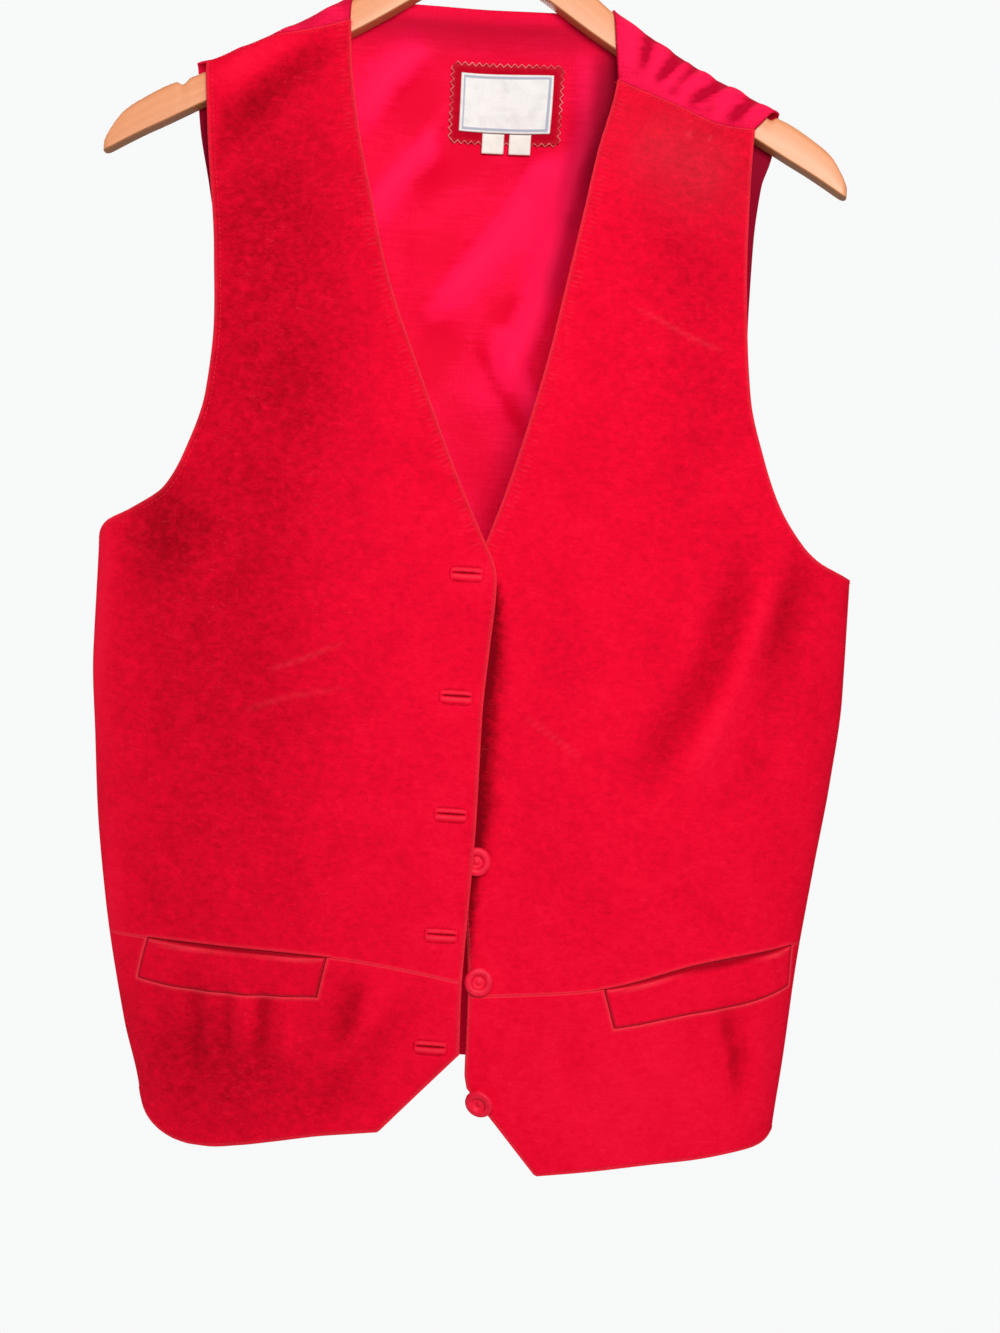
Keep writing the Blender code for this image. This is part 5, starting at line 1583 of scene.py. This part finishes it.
# One stitch at every step along the rows, turned a little out of line by chance
def stitchTree(finish):
    tree = newTree("stitchRows", stitchForm)
    given = tree.nodes.new("NodeGroupInput").outputs
    points = joined(tree, "GeometryNodeCurveToPoints",
                    {"Curve": given["Geometry"], "Length": given["spacing"]}, mode="LENGTH")
    ball = joined(tree, "GeometryNodeMeshUVSphere", {"Segments": 6, "Rings": 5, "Radius": 1.0})
    halfLength = joined(tree, "ShaderNodeMath", {0: given["length"], 1: 0.5}, operation="MULTIPLY")
    size = joined(tree, "ShaderNodeCombineXYZ",
                  {"X": given["thread"], "Y": given["thread"], "Z": halfLength.outputs[0]})
    stitch = joined(tree, "GeometryNodeTransform",
                    {"Geometry": ball.outputs["Mesh"], "Scale": size.outputs[0]})
    placed = joined(tree, "GeometryNodeInstanceOnPoints", {
        "Points": points.outputs["Points"], "Instance": stitch.outputs[0],
        "Rotation": points.outputs["Rotation"]})
    minus = joined(tree, "ShaderNodeMath", {0: given["jitter"], 1: -1.0}, operation="MULTIPLY")
    chance = joined(tree, "FunctionNodeRandomValue", {"Seed": given["seed"]}, data_type="FLOAT_VECTOR")
    for key, socket in (("Min", minus.outputs[0]), ("Max", given["jitter"])):
        tree.links.new(socket, next(s for s in chance.inputs if s.name == key and s.type == "VECTOR"))
    turnedAside = joined(tree, "GeometryNodeRotateInstances", {
        "Instances": placed.outputs[0], "Rotation": chance.outputs["Value"]})
    real = joined(tree, "GeometryNodeRealizeInstances", {"Geometry": turnedAside.outputs[0]})
    painted = joined(tree, "GeometryNodeSetMaterial", {"Geometry": real.outputs[0], "Material": finish})
    joined(tree, "NodeGroupOutput", {"Geometry": painted.outputs[0]})
    return tree


# A thread that follows its route as a round cord
def threadTree(finish):
    tree = newTree("laidThread", {"thread": 0})
    given = tree.nodes.new("NodeGroupInput").outputs
    ring = joined(tree, "GeometryNodeCurvePrimitiveCircle",
                  {"Resolution": 6, "Radius": given["thread"]}, mode="RADIUS")
    tube = joined(tree, "GeometryNodeCurveToMesh", {
        "Curve": given["Geometry"], "Profile Curve": ring.outputs["Curve"], "Fill Caps": True})
    real = joined(tree, "GeometryNodeRealizeInstances", {"Geometry": tube.outputs[0]})
    smooth = joined(tree, "GeometryNodeSetShadeSmooth", {"Geometry": real.outputs[0]})
    painted = joined(tree, "GeometryNodeSetMaterial", {"Geometry": smooth.outputs[0], "Material": finish})
    joined(tree, "NodeGroupOutput", {"Geometry": painted.outputs[0]})
    return tree


# Runs a tree on routes and keeps the result as a plain mesh
def sewn(name, routes, tree, sizes):
    source = routeObject(name + "Route", routes)
    modifier = source.modifiers.new("sewing", "NODES")
    modifier.node_group = tree
    for socket in tree.interface.items_tree:
        if socket.item_type == "SOCKET" and socket.in_out == "INPUT" and socket.name in sizes:
            modifier[socket.identifier] = sizes[socket.name]
    source.update_tag()
    graph = bpy.context.evaluated_depsgraph_get()
    mesh = bpy.data.meshes.new_from_object(source.evaluated_get(graph))
    mesh.name = name
    bpy.data.objects.remove(source)
    mesh.shade_smooth()
    return linked(name, mesh)


lengths = {key: stitchForm[key] * mm for key in ("spacing", "length", "thread")}
stitches = sewn("topStitching", seamRoutes, stitchTree(finishes["thread"]),
                {**lengths, "jitter": stitchForm["jitter"], "seed": stitchForm["seed"]})
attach(stitches, "root")

overcastForm = {"step": 2.2, "reach": 2.0, "sides": (-0.65, 0.35), "thread": 0.36}


def overcastRoute():
    patch = neckLabel["patch"]
    halfW, halfH = patch["width"] / 2, patch["height"] / 2
    corners = np.array(((-halfW, -halfH), (halfW, -halfH), (halfW, halfH), (-halfW, halfH), (-halfW, -halfH)))
    route = []
    for (ax, az), (bx, bz) in zip(corners, corners[1:]):
        span = math.hypot(bx - ax, bz - az)
        count = round(span / overcastForm["step"])
        outX, outZ = (bz - az) / span, (ax - bx) / span
        for k in range(count):
            share = (k + 0.5) / count
            push = overcastForm["reach"] * overcastForm["sides"][k % 2]
            route.append((ax + (bx - ax) * share + outX * push, az + (bz - az) * share + outZ * push))
    x, z = np.array(route).T + np.array((patch["x"], patch["z"]))[:, None]
    return liningSeat(x, z, liningInside + seamGap + patch["wall"] + threadLift)


overcast = sewn("patchOvercast", [overcastRoute()], threadTree(finishes["overcast"]),
                {"thread": overcastForm["thread"] * mm})
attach(overcast, "root")
print("sewing made, triangles:", sum(len(p.vertices) - 2 for p in stitches.data.polygons))


sheetCuts = {  # flat width and length in m, area in m2 unless it is a rectangle, how it is held, on what
    "rightUpper": ((0.252, 0.565), 0.0954, "hung", "back"),
    "leftUpper": ((0.245, 0.548), 0.0898, "hung", "back"),
    "rightLower": ((0.222, 0.121), 0.0193, "hung", "rightUpper"),
    "leftLower": ((0.208, 0.142), 0.0187, "hung", "leftUpper"),
    "rightWelt": ((0.110, 0.030), 0.0031, "laid", "rightLower"),
    "leftWelt": ((0.113, 0.031), 0.0033, "laid", "leftLower"),
    "back": ((0.467, 0.700), 0.2554, "hung", "woodenHanger"),
    "lining": ((0.467, 0.655), 0.2440, "hung", "back"),
    "patch": ((0.068, 0.046), None, "laid", "lining"),
    "label": ((0.057, 0.034), None, "laid", "patch"),
    "sizeTag": ((0.014, 0.012), None, "hung", "label"),
    "careTag": ((0.014, 0.012), None, "hung", "label"),
}
for k in range(1, 6):
    under = "rightUpper" if k < 5 else "rightLower"
    sheetCuts[f"buttonhole{k}"] = ((0.020, 0.010), 0.00018, "laid", under)
for key, (flat, area, held, under) in sheetCuts.items():
    carrier = sheets[under].name if under in sheets else under
print("sheets declared:", len(sheetCuts))


stageForm = {
    "floorZ": -1.95, "floorRadius": 2.2,
    "backdrop": (0.94, 0.945, 0.95, 1.0),
    "strength": {"To Min": 0.26, "To Max": 1.0},  # as light on the vest, and as the camera sees it
}


def buildStage():
    coords, feed = newFinish("paleFloor", **{"Specular IOR Level": 0.2})
    dust = coords.noise(9.0, 3.0)
    finish = feed(Base_Color=dust.blend((0.86, 0.86, 0.86), (0.89, 0.89, 0.89)), Roughness=0.8 + 0.1 * dust)
    spin = np.linspace(0, 2 * math.pi, 96, endpoint=False)
    radius, z = stageForm["floorRadius"], stageForm["floorZ"]
    ring = [(radius * math.cos(a), radius * math.sin(a), z) for a in spin]
    mesh = bpy.data.meshes.new("floor")
    mesh.from_pydata(ring, [], [tuple(range(len(ring)))])
    mesh.materials.append(finish)
    linked("floor", mesh)


cameraForm = {"place": (0.034, -1.15, -0.518), "roll": 3.7, "frameHeight": 0.8}


def buildCamera():
    data = bpy.data.cameras.new("camera")
    data.sensor_width = 36.0
    data.lens = data.sensor_width * -cameraForm["place"][1] / cameraForm["frameHeight"]
    camera = bpy.data.objects.new("camera", data)
    camera.location = cameraForm["place"]
    camera.rotation_euler = (math.radians(90), math.radians(-cameraForm["roll"]), 0)
    bpy.context.collection.objects.link(camera)
    bpy.context.scene.camera = camera


lightForm = (  # name, place, aimed at, size, watts
    ("key", (0.25, -1.7, 0.0), (0.04, 0.0, -0.46), 0.8, 29.0),
    ("rim", (-1.6, 0.3, -0.5), (-0.2, 0.0, -0.6), 0.6, 8.0),
    ("top", (0.1, -0.3, 1.1), (0.0, 0.0, -0.3), 1.0, 4.0),
    ("behind", (-0.6, 1.7, 0.3), (0.0, 0.0, -0.45), 1.4, 22.0),
)


def buildLights():
    for name, place, aim, size, watts in lightForm:
        data = bpy.data.lights.new(name, "AREA")
        data.shape, data.size, data.energy = "DISK", size, watts
        light = bpy.data.objects.new(name, data)
        light.location = place
        light.rotation_euler = (Vector(aim) - Vector(place)).to_track_quat("-Z", "Y").to_euler()
        bpy.context.collection.objects.link(light)
    world = bpy.data.worlds.new("studio")
    bpy.context.scene.world = world
    world.use_nodes = True
    nodes, links = world.node_tree.nodes, world.node_tree.links
    backdrop = nodes["Background"]
    backdrop.inputs["Color"].default_value = stageForm["backdrop"]
    seen = nodes.new("ShaderNodeLightPath").outputs["Is Camera Ray"]
    strength = nodes.new("ShaderNodeMapRange")
    for key, value in stageForm["strength"].items():
        strength.inputs[key].default_value = value
    links.new(seen, strength.inputs["Value"])
    links.new(strength.outputs["Result"], backdrop.inputs["Strength"])


buildStage()
buildCamera()
buildLights()
bpy.context.scene.view_settings.view_transform = "Standard"
bpy.context.view_layer.update()
